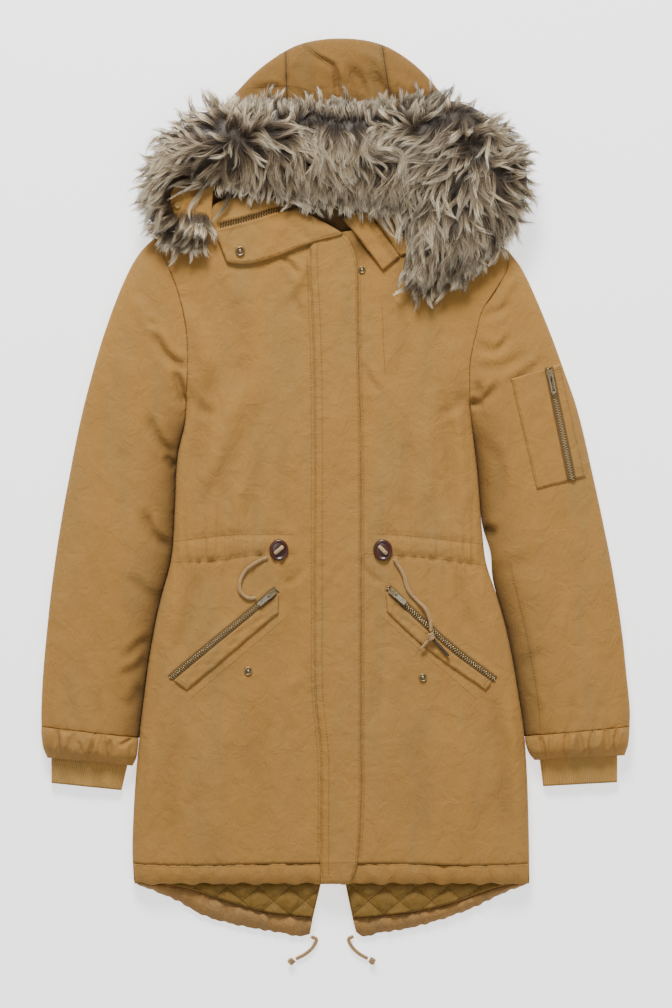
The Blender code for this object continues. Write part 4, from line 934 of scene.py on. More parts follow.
PLEATS_R = [([(-348, -299), (-344, -334)], -2.2, 2.6), ([(-328, -295), (-334, -308)], -1.6, 2.4),
            ([(-321, -316), (-317, -331)], -1.4, 2.4),
            ([(-298, -300), (-303, -320), (-309, -341)], -3.0, 2.6),
            ([(-290, -304), (-286, -341)], -2.0, 2.4), ([(-281, -314), (-283, -342)], -2.0, 2.4),
            ([(-270, -323), (-253, -313)], -1.6, 2.6), ([(-337, -305), (-338, -330)], 1.4, 5),
            ([(-303, -306), (-296, -336)], 1.2, 4), ([(-262, -318), (-264, -343)], 1.2, 5)]
PLEATS_L = [([(256, -309), (262, -338)], -2.4, 2.6), ([(270, -303), (268, -338)], -1.8, 2.6),
            ([(290, -304), (286, -338)], -2.2, 2.4), ([(303, -302), (310, -334)], -1.8, 2.6),
            ([(322, -300), (316, -334)], -2.2, 2.5), ([(338, -300), (340, -330)], -1.6, 2.6),
            ([(352, -300), (348, -330)], -1.8, 2.4), ([(296, -306), (298, -334)], 1.2, 4),
            ([(330, -304), (328, -330)], 1.2, 4)]
KNIT_MAT = cloth_material("rib_knit", KNIT, 0, rough=0.9, rib=True, weave=0.1, wear=0.6)
for band, cuff, word, pleats in ((BAND_RIGHT, CUFF_RIGHT, "right", PLEATS_R),
                                 (BAND_LEFT, CUFF_LEFT, "left", PLEATS_L)):
    line = np.array([(band[0][0], band[0][1]), (band[0][2], band[0][3])], float)
    line = np.linspace(line[0], line[1], 10)
    line[1:-1, 1] += 1.6 * np.sin(np.arange(1, 9) * 2.2)

    def bumps(x, y, s, t, pl=pleats):
        edge = 0.6 * np.sin(math.pi * t) - 0.6 * np.exp(-t / 0.07)
        return (2.3 * creases(x, y, pl) + edge + 0.6 * waves(x, y, 14, 41, (0.7, 2.0))
                - 1.6 * np.clip(t - 0.88, 0, 1) / 0.12 + 2.4 * np.exp(-t / 0.3))
    end_tube("sleeve_band_" + word + "_cloth", band, 30, 84, SHELL_MAT[1], "sleeve_band_" + word,
             bumps,
             seams=[(line, -1)])
    # the knit goes on up inside the band
    row0 = cuff[0]
    up = (row0[0] + (3 if word == "right" else -3), row0[1] + 6, row0[2], row0[3] + 6, 12)
    end_tube("cuff_" + word + "_knit", [up] + list(cuff), 20, 64, KNIT_MAT, "cuff_" + word,
             lambda x, y, s, t: 0.5 * waves(x, y, 26, 43), rib=True)

# ---------------------------------------------------------------- hood
HOOD_CREASES = [
    ([(16, 525), (34, 500), (30, 470)], -1.8, 7), ([(44, 520), (62, 492), (92, 470)], -2.2, 7),
    ([(70, 512), (96, 496), (122, 470)], 1.6, 9), ([(96, 500), (118, 478), (136, 452)], -2.4, 7),
    ([(-34, 544), (-18, 534), (-4, 526), (2, 500), (1, 470)], -1.8, 4),
    ([(6, 530), (14, 500), (12, 462)], 1.4, 7),
    ([(-110, 500), (-88, 498), (-62, 500)], -1.3, 6), ([(-120, 482), (-96, 478), (-70, 480)], 1.2, 8),
    ([(-138, 468), (-110, 452), (-80, 448)], -1.4, 8), ([(30, 548), (50, 536), (64, 514)], 1.0, 8),
    ([(52, 472), (76, 460), (110, 450)], -1.4, 6), ([(-44, 520), (-36, 490), (-40, 456)], 1.0, 9)]


def at_x(table, x):
    """The share of the way along a line where it passes an x."""
    pts = through(table, 600)
    return float(np.argmin(np.abs(pts[:, 0] - x))) / 599


SEAM_TOP = (at_x(HOOD_FOLD, -62.5), at_x(HOOD_FOLD, 58.0))
SEAM_LOW = (at_x(HOOD_OPENING, -59.0), at_x(HOOD_OPENING, 76.0))


def hood_cloth(x, y):
    z, ease = hood_top(x, y)
    return z + ease * (2.3 * creases(x, y, HOOD_CREASES) + 0.9 * waves(x, y, 58, 51)
                       + 0.45 * waves(x, y, 24, 52))


def share_line(k):
    a = through(HOOD_FOLD, 600)[int(round(SEAM_TOP[k] * 599))]
    b = through(HOOD_OPENING, 600)[int(round(SEAM_LOW[k] * 599))]
    t = np.linspace(0, 1, 12)[:, None]
    return a * (1 - t) + b * t


visor = through([(-113, 498), (-86, 499.5), (-60, 500.5), (-28, 494), (8, 488)], 24)
pleat = np.array([(-41, 558), (-38, 552), (-30, 546), (-14, 534), (-4, 527), (-1, 520), (0.5, 510), (1, 500)])
for word, (f0, f1), (o0, o1), cols, seams in (
        ("side_right", (0.0, SEAM_TOP[0] - 0.0001), (0.0, SEAM_LOW[0] - 0.0001), 110,
         [share_line(0), (visor, -1)]),
        ("centre", (SEAM_TOP[0] + 0.0001, SEAM_TOP[1] - 0.0001), (SEAM_LOW[0] + 0.0001, SEAM_LOW[1] - 0.0001),
         70,
         [share_line(0), share_line(1), (visor, -1), (pleat, 1)]),
        ("side_left", (SEAM_TOP[1] + 0.0001, 1.0), (SEAM_LOW[1] + 0.0001, 1.0), 110, [share_line(1)])):
    a, b = through(HOOD_FOLD, cols, f0, f1), through(HOOD_OPENING, cols, o0, o1)
    v = np.linspace(0, 1, 58)[:, None]
    edge_dip = lambda x, y: sum(1.2 * np.exp(-to_line(x, y, share_line(q)) / 3.0) for q in (0, 1))
    v = 0.5 * v + 0.5 * v**1.8
    X = a[None, :, 0] * (1 - v) + b[None, :, 0] * v
    Y = a[None, :, 1] * (1 - v) + b[None, :, 1] * v
    shell("hood_" + word + "_cloth", X, Y, hood_cloth(X, Y) - edge_dip(X, Y), 12.6, seams=seams,
          replaces="hood_" + word,
          mat=HOOD_SHADED_MAT[len(seams)],
          sheet=("laid", ["hood_back_cloth"]))
a, b = through(HOOD_FOLD, 120), through(HOOD_NECK, 120)
v = np.linspace(0, 1, 50)[:, None] ** 1.5
X = a[None, :, 0] * (1 - v) + b[None, :, 0] * v
Y = a[None, :, 1] * (1 - v) + b[None, :, 1] * v
Z = FOLD_LOW * (1 - swell(to_line(X, Y, HOOD_LINE), 12.0)) + np.clip(0.2 * waves(X, Y, 50, 9), 0, 1)
HOOD_LINING = cloth_material("hood_lining", rgb(96, 68, 34), 0, rough=0.5, sheen=0.15, wear=1.5)
shell("hood_back_cloth", X, Y, Z, 12.2, seams=[], mat=SHELL_MAT[0], replaces="hood_back", flip=True,
      sheet=("laid", []))
# the lining seen in the hood's mouth, and the layer of shade under the fur
X, Y = lerp_grid([(-176, 398), (-100, 420), (0, 424), (100, 420), (160, 392)],
                 [(-150, 326), (-90, 335), (0, 309), (60, 309), (120, 326)], 30, 90)
v = np.linspace(0, 1, 30)[:, None]
Z = 24.0 - 7.5 * v + (1 - 0.6 * v) * (2.2 * waves(X, Y, 40, 61) + 1.2 * waves(X, Y, 18, 62))
shell("hood_lining_cloth", X, Y, Z, 14.0, mat=HOOD_LINING, inward=2.0,
      sheet=("laid", ["hood_back_cloth"]))

# ---------------------------------------------------------------- the hood's corner and the collar
TURNED = cloth_material("turned_facing", rgb(160, 116, 54), 0, rough=0.48, sheen=0.2, wear=1.2)
TURNED1 = cloth_material("turned_facing_1", rgb(160, 116, 54), 1, rough=0.48, sheen=0.2, wear=1.2)
X, Y = lerp_grid([(-203, 331), (-205, 366), (-199, 392), (-180, 404)],
                 [(-155, 329), (-154, 352), (-153, 376), (-157, 400)],
                 44, 48)
v, u = np.meshgrid(np.linspace(0, 1, 48), np.linspace(0, 1, 44))
Z = 34.4 + 2.2 * np.sin(math.pi * u) ** 0.7 * np.sin(math.pi
                                                     * np.clip(v, 0.04,
                                                               0.96)) ** 0.5 + 0.5 * waves(X, Y, 24, 63)
Z += creases(X, Y, [([(-204, 384), (-180, 380), (-160, 374)], -1.6, 3.2),
                    ([(-176, 372), (-168, 350)], -0.8, 3)])
shell("hood_corner_cloth", X, Y, Z, 33.8, mat=TURNED1, replaces="hood_corner_right", inward=4.0,
      seams=[(np.array([(-206, 384), (-182, 380), (-158, 374)]), 1)],
      sheet=("folded", ["hood_side_right_cloth"]))

a = [(-157, 336), (-152, 352), (-141, 359), (-120, 364), (-99, 366), (-66, 356), (-38, 344), (-14, 331),
     (2, 322), (9.5, 317)]
b = [(-136, 281), (-124, 278.5), (-112, 278), (-92, 282), (-72, 288), (-50, 297), (-29, 305), (-12, 310),
     (1, 313.4), (9, 315.8)]
X, Y = lerp_grid(a, b, 62, 96)
v, u = np.meshgrid(np.linspace(0, 1, 96), np.linspace(0, 1, 62))
rim = np.minimum(np.minimum(u, 1 - u) * 62 / 4.5, np.minimum(v, 1 - v) * 150 / 4.5)
Z = 31.0 + 3.2 * swell(rim, 1.0, 2.0) + 0.9 * np.sin(math.pi
                                                     * u) + 0.45 * waves(X, Y, 34,
                                                                         64) + 0.15 * waves(X, Y, 14, 65)
Z += creases(X, Y, [([(-100, 352), (-70, 346), (-44, 332)], -1.3, 5), ([(-60, 340), (-30, 326)], 0.9, 5),
                    ([(-120, 330), (-128, 300)], -0.6, 8), ([(-84, 320), (-80, 292)], 0.5, 8)])
ZIP_LINE = through([(-143, 327), (-120, 333), (-98, 339), (-76, 346), (-54, 349)], 20)
off = along(X, Y, ZIP_LINE)
on = (off[1] > -4) & (off[1] < off[2] + 4)
Z -= 1.6 * np.clip((v - 0.88) / 0.12, 0, 1) ** 1.3
Z -= np.where(on, 1.3 * np.exp(-(off[0] / 3.2) ** 2) - 0.9 * np.exp(-((np.abs(off[0]) - 5.5) / 2.0) ** 2), 0)
low_edge = np.stack([X[-1], Y[-1]], 1)[2:-2] + np.array([0, 3.4])
# painted shadow fading down from the upper edge under the fur, and painted shade along the zip line that
# stands partly for its dark teeth
shade = 0.26 * np.exp(-u / 0.16) + np.where(on, 0.34 * np.exp(-(off[0] / 3.4) ** 2), 0)
shell("collar_right_cloth", X, Y, Z, 29.4, seams=[(low_edge, -1)], replaces="collar_right", inward=4.0,
      painted_shade=shade,
      sheet=("folded", ["front_right_cloth"]))
# the closed zip in its edge: covered teeth as two rows of small dark blocks, between two lips
TEETH_TAN = cloth_material("covered_teeth", rgb(48, 29, 12), 0, rough=0.6, wear=0.6)


def boxes(name, centres, along_dirs, size, mat, heights, replaces=(), body="coat", taper=0.75):
    """Many small chamfered blocks as one mesh: teeth, stitches and the like."""
    c = np.asarray(centres, float)
    d = np.asarray(along_dirs, float)
    d /= np.linalg.norm(d, axis=1)[:, None]
    nrm = np.stack([-d[:, 1], d[:, 0]], 1)
    lx, ly, lz = size
    corner = []
    for z, k in ((0, 1.0), (0.7, 1.0), (1.0, taper)):
        for sx, sy in ((-1, -1), (1, -1), (1, 1), (-1, 1)):
            corner.append((sx * lx / 2 * k, sy * ly / 2 * k, z * lz))
    corner = np.array(corner)
    n = len(c)
    P = np.empty((n, 12, 3))
    P[:, :, 0] = c[:, None, 0] + corner[None, :, 0] * d[:, None, 0] + corner[None, :, 1] * nrm[:, None, 0]
    P[:, :, 1] = c[:, None, 1] + corner[None, :, 0] * d[:, None, 1] + corner[None, :, 1] * nrm[:, None, 1]
    P[:, :, 2] = np.asarray(heights)[:, None] + corner[None, :, 2]
    quad = []
    for r in (0, 4):
        for k in range(4):
            quad.append((r + k, r + (k + 1) % 4, r + 4 + (k + 1) % 4, r + 4 + k))
    quad += [(3, 2, 1, 0), (8, 9, 10, 11)]
    F = (np.array(quad)[None] + (np.arange(n) * 12)[:, None, None]).reshape(-1, 4)
    return put(name, P.reshape(-1, 3), F, mat, smooth=False, replaces=replaces, body=body)


line = through(ZIP_LINE, 29)
tan = np.gradient(line, axis=0)
tan /= np.linalg.norm(tan, axis=1)[:, None]
nrm = np.stack([-tan[:, 1], tan[:, 0]], 1)
line = np.concatenate([line + nrm * 1.9 + tan * 0.7, line - nrm * 1.9 - tan * 0.7])
level = np.array([Z[np.unravel_index(np.argmin((X - q[0]) ** 2 + (Y - q[1]) ** 2), X.shape)] for q in line])
boxes("collar_zip_teeth", line, np.concatenate([tan, tan]), (1.7, 2.5, 1.5), TEETH_TAN, level + 0.1,
      "collar_zip")

for name, a, b, rows, cols, base, high, mat, slot, kind, seams in (
        ("collar_left", [(9, 335), (36, 302), (59, 270)], [(33, 352), (58, 320), (80.5, 288)], 34, 64, 29.2,
         3.4, None,
         "shell", "folded", [(np.array([(27, 349), (52, 315.5), (75, 284)]), 1),
                             (np.array([(31, 351), (55.8, 319), (78, 287)]), -1)]),
        ("collar_facing_left", [(34.5, 353), (59.3, 320.8), (81.2, 288.6)],
         [(88, 352), (104, 326), (112, 300)], 34, 64,
         29.2, 1.8, TURNED, "lining", "folded", [])):
    X, Y = lerp_grid(a, b, rows, cols)
    v, u = np.meshgrid(np.linspace(0, 1, cols), np.linspace(0, 1, rows))
    rim = np.minimum(np.minimum(u, 1 - u) * 28 / 3.5, np.minimum(v, 1 - v) * 80 / 3.5)
    Z = base + high * swell(np.clip(rim, 0, 1), 1.0, 2.0) + 0.35 * waves(X, Y, 22, 66)
    shell(name + "_cloth", X, Y, Z, base - 0.2, seams=seams, mat=mat, replaces=name, inward=3.0,
          sheet=(kind, ["front_left_cloth"]))

# ---------------------------------------------------------------- placket
rows, cols = 280, 34
y = np.linspace(PLACKET[0][0], PLACKET[-1][0], rows)[:, None]
u = np.linspace(0, 1, cols)[None]
u = 0.5 * u + 0.5 * (0.5 - 0.5 * np.cos(math.pi * u))
a, b = follow(PLACKET, y, 1), follow(PLACKET, y, 2)
X = a * (1 - u) + b * u
Y = y + 0 * u
base = np.maximum(top(X, Y)[0], 27.0)
BODY_Z = body_top(X, Y) - top(X, Y)[0]
from_left, from_right = X - a, b - X
rim = np.minimum(from_right, (Y - PLACKET[-1][0]) * 0.7)
Z = base + 0.6 + 2.9 * swell(rim, 4.0, 2.0) * (0.35
                                               + 0.65
                                               * np.clip(from_left / 5.0, 0,
                                                         1)) + 0.5 * np.clip(BODY_Z, -1.5, 1.5)
Z += creases(X, Y, [([(-24, -150), (0, -110), (22, -88)], -0.8, 5),
                    ([(-28, 22), (-14, 80), (0, 128)], -0.7, 6),
                    ([(30, 157), (56, 120)], -0.6, 4), ([(-6, 240), (0, 150), (-4, 60)], 0.5, 12),
                    ([(8, -160), (4, -280), (10, -380)], 0.6, 13), ([(24, -100), (20, -220)], -0.5, 8),
                    ([(-18, -60), (-20, -160)], -0.5, 7)]) + 0.35 * waves(X, Y, 60, 71,
                                                                          (1, 2)) + 0.16 * waves(X, Y, 20, 72)
Z += 0.45 * np.exp(-((from_left - 7.5) / 3.2) ** 2) - 0.5 * np.exp(-(from_left / 1.6) ** 2)
stitch_a = np.stack([a[:, 0] + 2.0, y[:, 0]], 1)[::6]
stitch_b = np.stack([a[:, 0] + 10.5, y[:, 0]], 1)[::6]
stitch_c = np.stack([b[:, 0] - 2.6, y[:, 0]], 1)[::6]
shell("placket_cloth", X, Y, Z, lambda x, yy: np.maximum(top(x, yy)[0], 27.0) - 0.2,
      seams=[(stitch_a, -1), (stitch_b, -1),
      (stitch_c, -1), (np.array([(-19, -469), (31, -468)]), -1)], replaces="placket", inward=4.0,
      sheet=("laid", ["front_right_cloth", "front_left_cloth"]))


# ---------------------------------------------------------------- pockets and zips
def skin(x, y):
    return body_top(np.asarray(x, float), np.asarray(y, float))


TEETH_METAL = metal_material("zip_teeth", rgb(172, 156, 116), 0.36, 0.5)
TAPE = cloth_material("zip_tape", rgb(112, 84, 48), 0, rough=0.85, weave=0.3, wear=0.4)


def zip_run(name, points, lift, replaces, level=None):
    """Zip tape with two interlocking rows of metal teeth."""
    line = through(points, 120)
    tan = np.gradient(line, axis=0)
    tan /= np.linalg.norm(tan, axis=1)[:, None]
    nrm = np.stack([-tan[:, 1], tan[:, 0]], 1)
    t = np.linspace(-1, 1, 9)[None, :, None]
    G = line[:, None] + nrm[:, None] * t * 5.2
    Z = (skin(G[..., 0], G[..., 1]) if level is None else level(G[..., 0], G[..., 1])) + lift
    shell(name + "_tape", G[..., 0], G[..., 1], Z, lambda x, y: np.asarray(top(x, y)[0]) - 0.4,
          mat=TAPE,
          replaces=replaces, inward=1.0, sheet=("laid", []))
    size = np.linalg.norm(np.diff(line, axis=0), axis=1).sum()
    n = int(size / 1.6)
    run = through(points, n)
    tt = np.gradient(run, axis=0)
    tt /= np.linalg.norm(tt, axis=1)[:, None]
    nn = np.stack([-tt[:, 1], tt[:, 0]], 1)
    odd = np.where(np.arange(n) % 2 == 0, 1.0, -1.0)[:, None]
    c = run + nn * odd * 1.1
    zz = (skin(c[:, 0], c[:, 1]) if level is None else level(c[:, 0], c[:, 1])) + lift
    boxes(name + "_teeth", c, nn, (3.1, 0.95, 1.5), TEETH_METAL, zz)


for word, sign in (("right", -1), ("left", 1)):
    line = POCKETS[word]
    d = np.array(line[-1], float) - np.array(line[0], float)
    d /= np.linalg.norm(d)
    down = np.array([-d[1], d[0]]) * (1 if sign < 0 else -1)
    if down[1] > 0:
        down = -down
    zip_run("pocket_zip_" + word, line, 0.9, "pocket_zip_" + word)
    upper = [(p[0] + down[0] * 4.4, p[1] + down[1] * 4.4) for p in line]
    X, Y = lerp_grid(upper, LOWER[word], 22, 110)
    v, u = np.meshgrid(np.linspace(0, 1, 110), np.linspace(0, 1, 22))
    rim = np.minimum(np.minimum(u * 9, (1 - u) * 7), np.minimum(v, 1 - v) * 40)
    Z = skin(X, Y) + 0.3 + 2.9 * swell(np.clip(rim, 0, 1), 1.0, 2.0) + 0.25 * waves(X, Y, 14, 81) \
        + creases(X, Y, [([tuple(np.array(LOWER[word][0]) * 0.7 + np.array(upper[1]) * 0.3), tuple(upper[2])],
                          -0.5, 3)])
    edge = np.stack([X[-1], Y[-1]], 1)[3:-3] - down * 2.2
    end = np.stack([X[:, -3], Y[:, -3]], 1)[1:-1] - d * 3
    shell("pocket_welt_" + word + "_cloth", X, Y, Z, lambda x, y: np.asarray(skin(x, y)) - 0.5,
          seams=[(edge[::4], -1), (end[::3], -1)], replaces="pocket_welt_" + word, inward=2.0,
          sheet=("laid", ["front_" + word + "_cloth"]))

zip_run("sleeve_zip", [(266, 150), (281, 80), (295, 10)], 3.1, "sleeve_zip", level=lambda x, y: top(x, y)[0])
for name, a, b, rows, cols, lift_, seams in (
        ("sleeve_pocket", [(219, 136), (240, 142), (261.5, 149)], [(251, -3), (271, 2), (290.5, 7)], 74, 36,
         2.4,
         [(np.array([(222, 134), (253, 0)]), -1), (np.array([(252, 0), (289, 9)]), -1),
          (np.array([(221, 133), (260, 146)]), -1)]),
        ("pen_pocket", [(271, 152), (281, 155)], [(300, 10), (313, 13)], 74, 22, 3.0,
         [(np.array([(280, 152), (310, 15)]), -1), (np.array([(272, 145), (282, 148)]), 1)])):
    X, Y = lerp_grid(a, b, rows, cols)
    v, u = np.meshgrid(np.linspace(0, 1, cols), np.linspace(0, 1, rows))
    rim = np.minimum(np.minimum(u, 1 - u) * 60, np.minimum(v, 1 - v) * 18)
    Z = top(X, Y)[0] + 0.3 + (lift_ - 0.3) * swell(np.clip(rim, 0, 1), 1.0, 2.0) + 0.3 * waves(X, Y, 26, 91)
    shell(name + "_cloth", X, Y, Z, lambda x, y: np.asarray(top(x, y)[0]) - 0.6, seams=seams, replaces=name,
          inward=2.0,
          sheet=("laid", ["sleeve_left_cloth"]))


# ---------------------------------------------------------------- round metal and horn parts
def lathe(name, profile, place, mat, replaces=(), around=40, squeeze=(1, 1), turn=0.0):
    """A turned part: (radius, height) pairs from the outside in, in mm."""
    p = np.array(profile, float)
    ang = np.linspace(0, 2 * math.pi, around, endpoint=False)
    x = p[:, None, 0] * np.cos(ang)[None] * squeeze[0]
    y = p[:, None, 0] * np.sin(ang)[None] * squeeze[1]
    c, s = math.cos(turn), math.sin(turn)
    V = np.stack([x * c - y * s + place[0], x * s + y * c + place[1], p[:, None, 1] + place[2] + 0 * x], -1)
    n = len(p)
    idx = np.arange(n * around).reshape(n, around)
    nx = np.roll(idx, -1, axis=1)
    F = np.stack([idx[:-1], nx[:-1], nx[1:], idx[1:]], -1).reshape(-1, 4)
    return put(name, V.reshape(-1, 3), F, mat, replaces=replaces)


SNAP = [(1.0, -0.4), (1.0, 0.3), (0.98, 0.75), (0.90, 1.0), (0.78, 1.0), (0.70, 0.8), (0.60, 0.35),
        (0.55, 0.3),
        (0.50, 0.5), (0.42, 1.0), (0.30, 1.25), (0.15, 1.35), (0.001, 1.38)]
for name, x, y, z, r in (("snap_collar_right", -119, 295, 35.0, 6.0),
                         ("snap_collar_left", 83, 316, 31.2, 4.8),
                         ("snap_front", 33.0, 272, None, 4.4), ("snap_pocket_right", -109, -229, None, 5.2),
                         ("snap_pocket_left", 109, -237, None, 5.2)):
    z = float(skin(x, y)) + 0.3 if z is None else z
    lathe(name + "_metal", [(a * r, b * r * 0.42) for a, b in SNAP], (x, y, z), BRASS, name)
lathe("hood_button_face", [(4.4, -0.6), (4.5, 1.2), (4.1, 2.0), (3.2, 2.0), (2.6, 1.5), (1.2, 1.3),
                           (0.001, 1.3)], (-197, 352, 36.2),
      cloth_material("horn_button", rgb(150, 116, 62), 0, rough=0.4, wear=0.3), "hood_button_right")

m, t, bsdf = nodes_of("dark_horn")
f = Maths(t)
spot = t.nodes.new("ShaderNodeTexCoord").outputs["Object"]
mix = t.nodes.new("ShaderNodeVectorMath")
mix.operation = "SCALE"
mix.inputs[0].default_value = rgb(62, 26, 16)
t.links.new(f("ADD", 0.55, f.noise(spot, 260, 3.0, 0.6, 0.6)), mix.inputs["Scale"])
t.links.new(mix.outputs[0], bsdf.inputs["Base Color"])
bsdf.inputs["Roughness"].default_value = 0.32
bsdf.inputs["Coat Weight"].default_value = 0.1
HORN = m


def braid_material(name, colour, pitch=2.6):
    """Braided cord: the attribute holds the angle round it and the length along it."""
    m, t, bsdf = nodes_of(name)
    f = Maths(t)
    at = t.nodes.new("ShaderNodeAttribute")
    at.attribute_name = "seam0"
    s3 = t.nodes.new("ShaderNodeSeparateXYZ")
    t.links.new(at.outputs["Vector"], s3.inputs[0])
    turn = f("MULTIPLY", s3.outputs[0], 5.0)
    run = f("MULTIPLY", s3.outputs[1], 2 * math.pi / pitch)
    weave = f("MAXIMUM", f("SINE", f("ADD", turn, run)), f("SINE", f("SUBTRACT", turn, run)))
    place = t.nodes.new("ShaderNodeTexCoord").outputs["Object"]
    fuzz = f.noise(place, 1800, 2.0, 0.7)
    mix = t.nodes.new("ShaderNodeVectorMath")
    mix.operation = "SCALE"
    mix.inputs[0].default_value = colour
    t.links.new(f("ADD", 0.62, f("ADD", f("MULTIPLY", weave, 0.25), f("MULTIPLY", fuzz, 0.3))),
                mix.inputs["Scale"])
    t.links.new(mix.outputs[0], bsdf.inputs["Base Color"])
    bump = t.nodes.new("ShaderNodeBump")
    bump.inputs["Distance"].default_value = 0.0006
    t.links.new(f("ADD", weave, f("MULTIPLY", fuzz, 0.4)), bump.inputs["Height"])
    t.links.new(bump.outputs[0], bsdf.inputs["Normal"])
    bsdf.inputs["Roughness"].default_value = 0.85
    bsdf.inputs["Sheen Weight"].default_value = 0.3
    return m


BRAID = braid_material("braided_cord", rgb(186, 142, 82))


def rope(name, points, diameter, replaces=(), mat=None, around=16, step=0.9, ends=True):
    """A round cord as a tube mesh along a smooth line, with its centre line returned in metres."""
    pts = np.array(points, float)
    size = np.linalg.norm(np.diff(pts, axis=0), axis=1).sum()
    n = max(6, int(size / step))
    line = through(points, n)
    tan = np.gradient(line, axis=0)
    tan /= np.linalg.norm(tan, axis=1)[:, None]
    up = np.array([0.0, 0.0, 1.0])
    normal = np.cross(tan[0], up)
    if np.linalg.norm(normal) < 0.1:
        normal = np.cross(tan[0], [0, 1.0, 0])
    normal /= np.linalg.norm(normal)
    ang = np.linspace(0, 2 * math.pi, around, endpoint=False)
    frames = []
    for k in range(n):
        normal = normal - tan[k] * (normal @ tan[k])
        normal /= np.linalg.norm(normal)
        frames.append((normal.copy(), np.cross(tan[k], normal)))
    scale = np.ones(n)
    if ends:
        e = np.minimum(np.arange(n), np.arange(n)[::-1])
        scale = np.where(e == 0, 0.55, np.where(e == 1, 0.92, 1.0))
    V = np.array([[line[k] + (fr[0] * math.cos(a_) + fr[1] * math.sin(a_)) * diameter / 2 * scale[k]
                   for a_ in ang]
                  for k, fr in enumerate(frames)])
    V = np.concatenate([V.reshape(-1, 3), line[:1], line[-1:]])
    idx = np.arange(n * around).reshape(n, around)
    nx = np.roll(idx, -1, axis=1)
    F = np.stack([idx[:-1], idx[1:], nx[1:], nx[:-1]], -1).reshape(-1, 4)
    c0, c1 = n * around, n * around + 1
    half = around // 2
    cap0 = [(c0, idx[0, 2 * k], idx[0, (2 * k + 1) % around], idx[0, (2 * k + 2) % around])
            for k in range(half)]
    cap1 = [(c1, idx[-1, (2 * k + 2) % around], idx[-1, (2 * k + 1) % around], idx[-1, 2 * k])
            for k in range(half)]
    F = np.concatenate([F, np.array(cap0), np.array(cap1)])
    ob = put(name, V, F, mat or BRAID, replaces=replaces)
    run = np.concatenate([[0], np.cumsum(np.linalg.norm(np.diff(line, axis=0), axis=1))])
    a_ = np.concatenate([np.tile(ang, n), [0, 0]])
    s_ = np.concatenate([np.repeat(run, around), [0, run[-1]]])
    data = ob.data.attributes.new("seam0", "FLOAT_VECTOR", "POINT")
    data.data.foreach_set("vector", np.stack([a_, s_, 0 * s_], 1).astype(np.float32).ravel())
    return ob, line * MM, run[-1] * MM


for word, (x, y, angle) in {"right": (-70.6, -78.0, 40.0), "left": (59.0, -78.0, -45.0)}.items():
    z = float(skin(x, y)) + 0.2
    prof = [(12.0, -0.4), (12.6, 1.0), (12.6, 2.4), (12.0, 3.6), (10.9, 4.2), (9.9, 4.0), (9.0, 3.1),
            (7.8, 2.7),
            (4.0, 2.5), (0.001, 2.5)]
    lathe("toggle_" + word + "_horn", prof, (x, y, z), HORN, "toggle_" + word, squeeze=(0.94, 1.06))
    c, s = math.cos(math.radians(angle)), math.sin(math.radians(angle))
    for k in (-1, 1):
        lathe("toggle_eye_%s_%d" % (word, k),
              [(3.4, 2.5), (3.3, 2.95), (2.8, 3.0), (2.3, 2.6), (0.001, 2.55)],
              (x + c * 5 * k, y + s * 5 * k, z), DARK_METAL, around=24)
    rope("toggle_bar_" + word, [(x - c * 5.6, y - s * 5.6, z + 2.6), (x - c * 5.2, y - s * 5.2, z + 4.6),
                                (x, y, z + 5.9),
                                (x + c * 5.2, y + s * 5.2, z + 4.6), (x + c * 5.6, y + s * 5.6, z + 2.6)],
         5.0, "toggle_cord_" + word, mat=braid_material("toggle_bar_cord", rgb(204, 170, 116)))


# ---------------------------------------------------------------- drawstrings
def knot(name, x, y, z, size, heading, replaces):
    """An overhand knot: three turns of the same cord wound close together."""
    c, s = math.cos(heading), math.sin(heading)
    pts = []
    for k in range(40):
        w = k / 39
        ang = w * 2 * math.pi * 2.5
        r = size * (0.50 + 0.05 * math.sin(ang * 1.5))
        u_ = (w - 0.5) * size * 1.1
        a_, b_ = r * math.cos(ang), r * math.sin(ang)
        pts.append((x + c * u_ - s * a_, y + s * u_ + c * a_, z + b_))
    return rope(name, pts, size * 0.62, replaces, around=12, step=0.8)[0]


top_of = lambda x, y: float(skin(x, y))
right = [(-84.6, -87), (-94, -91), (-106, -98), (-114, -106), (-118.5, -115), (-119.5, -128), (-110, -137.5),
         (-99, -138)]
pts = [(x, y, top_of(x, y) + 2.5) for x, y in right]
ob, path, length = rope("waist_cord_right_braid", pts, 4.6, "waist_cord_right")
left = [(73, -88.5), (85, -109), (91, -128), (102, -141)]
pts = [(x, y, top_of(x, y) + 2.7) for x, y in left] + [(112, -151, 36.0), (118, -166, 36.4),
                                                       (119, -180, 36.0)]
ob, path, length = rope("waist_cord_left_braid", pts, 4.6, "waist_cord_left")
kn = knot("waist_knot_braid", 119, -186, 35.8, 6.2, -1.2, "waist_knot")
stub = rope("waist_stub_braid", [(116.5, -189.6, 35.4), (111, -196, 35.2), (106, -202, 35.0)], 3.8,
            "waist_stub")[0]
tip = rope("waist_tip_cord", [(122.2, -189.2, 35.4), (131, -199, 35.2), (141, -210, 35.0)], 3.6, "waist_tip",
           mat=metal_material("tip_metal", rgb(96, 88, 76), 0.4, 0.5))[0]
for word, pts, end in (("right", [(-30.4, -563.0, 3.6), (-24, -566, 3.0), (-27, -574, 2.6), (-37, -584, 2.6),
                                  (-50, -591, 2.6)],
                        (-55.2, -593.6)),
                       ("left", [(22.6, -562.2, 3.6), (16.5, -566, 3.0), (19, -573, 2.6), (28, -583, 2.6),
                                 (40.5, -590.5, 2.6)],
                        (45.8, -593.2))):
    ob, path, length = rope("hem_cord_" + word + "_braid", pts, 4.6, "hem_cord_" + word)
    kn = knot("hem_knot_" + word + "_braid", end[0], end[1], 4.6, 5.4, -2.5 if word == "right" else -0.6,
              "hem_knot_" + word)
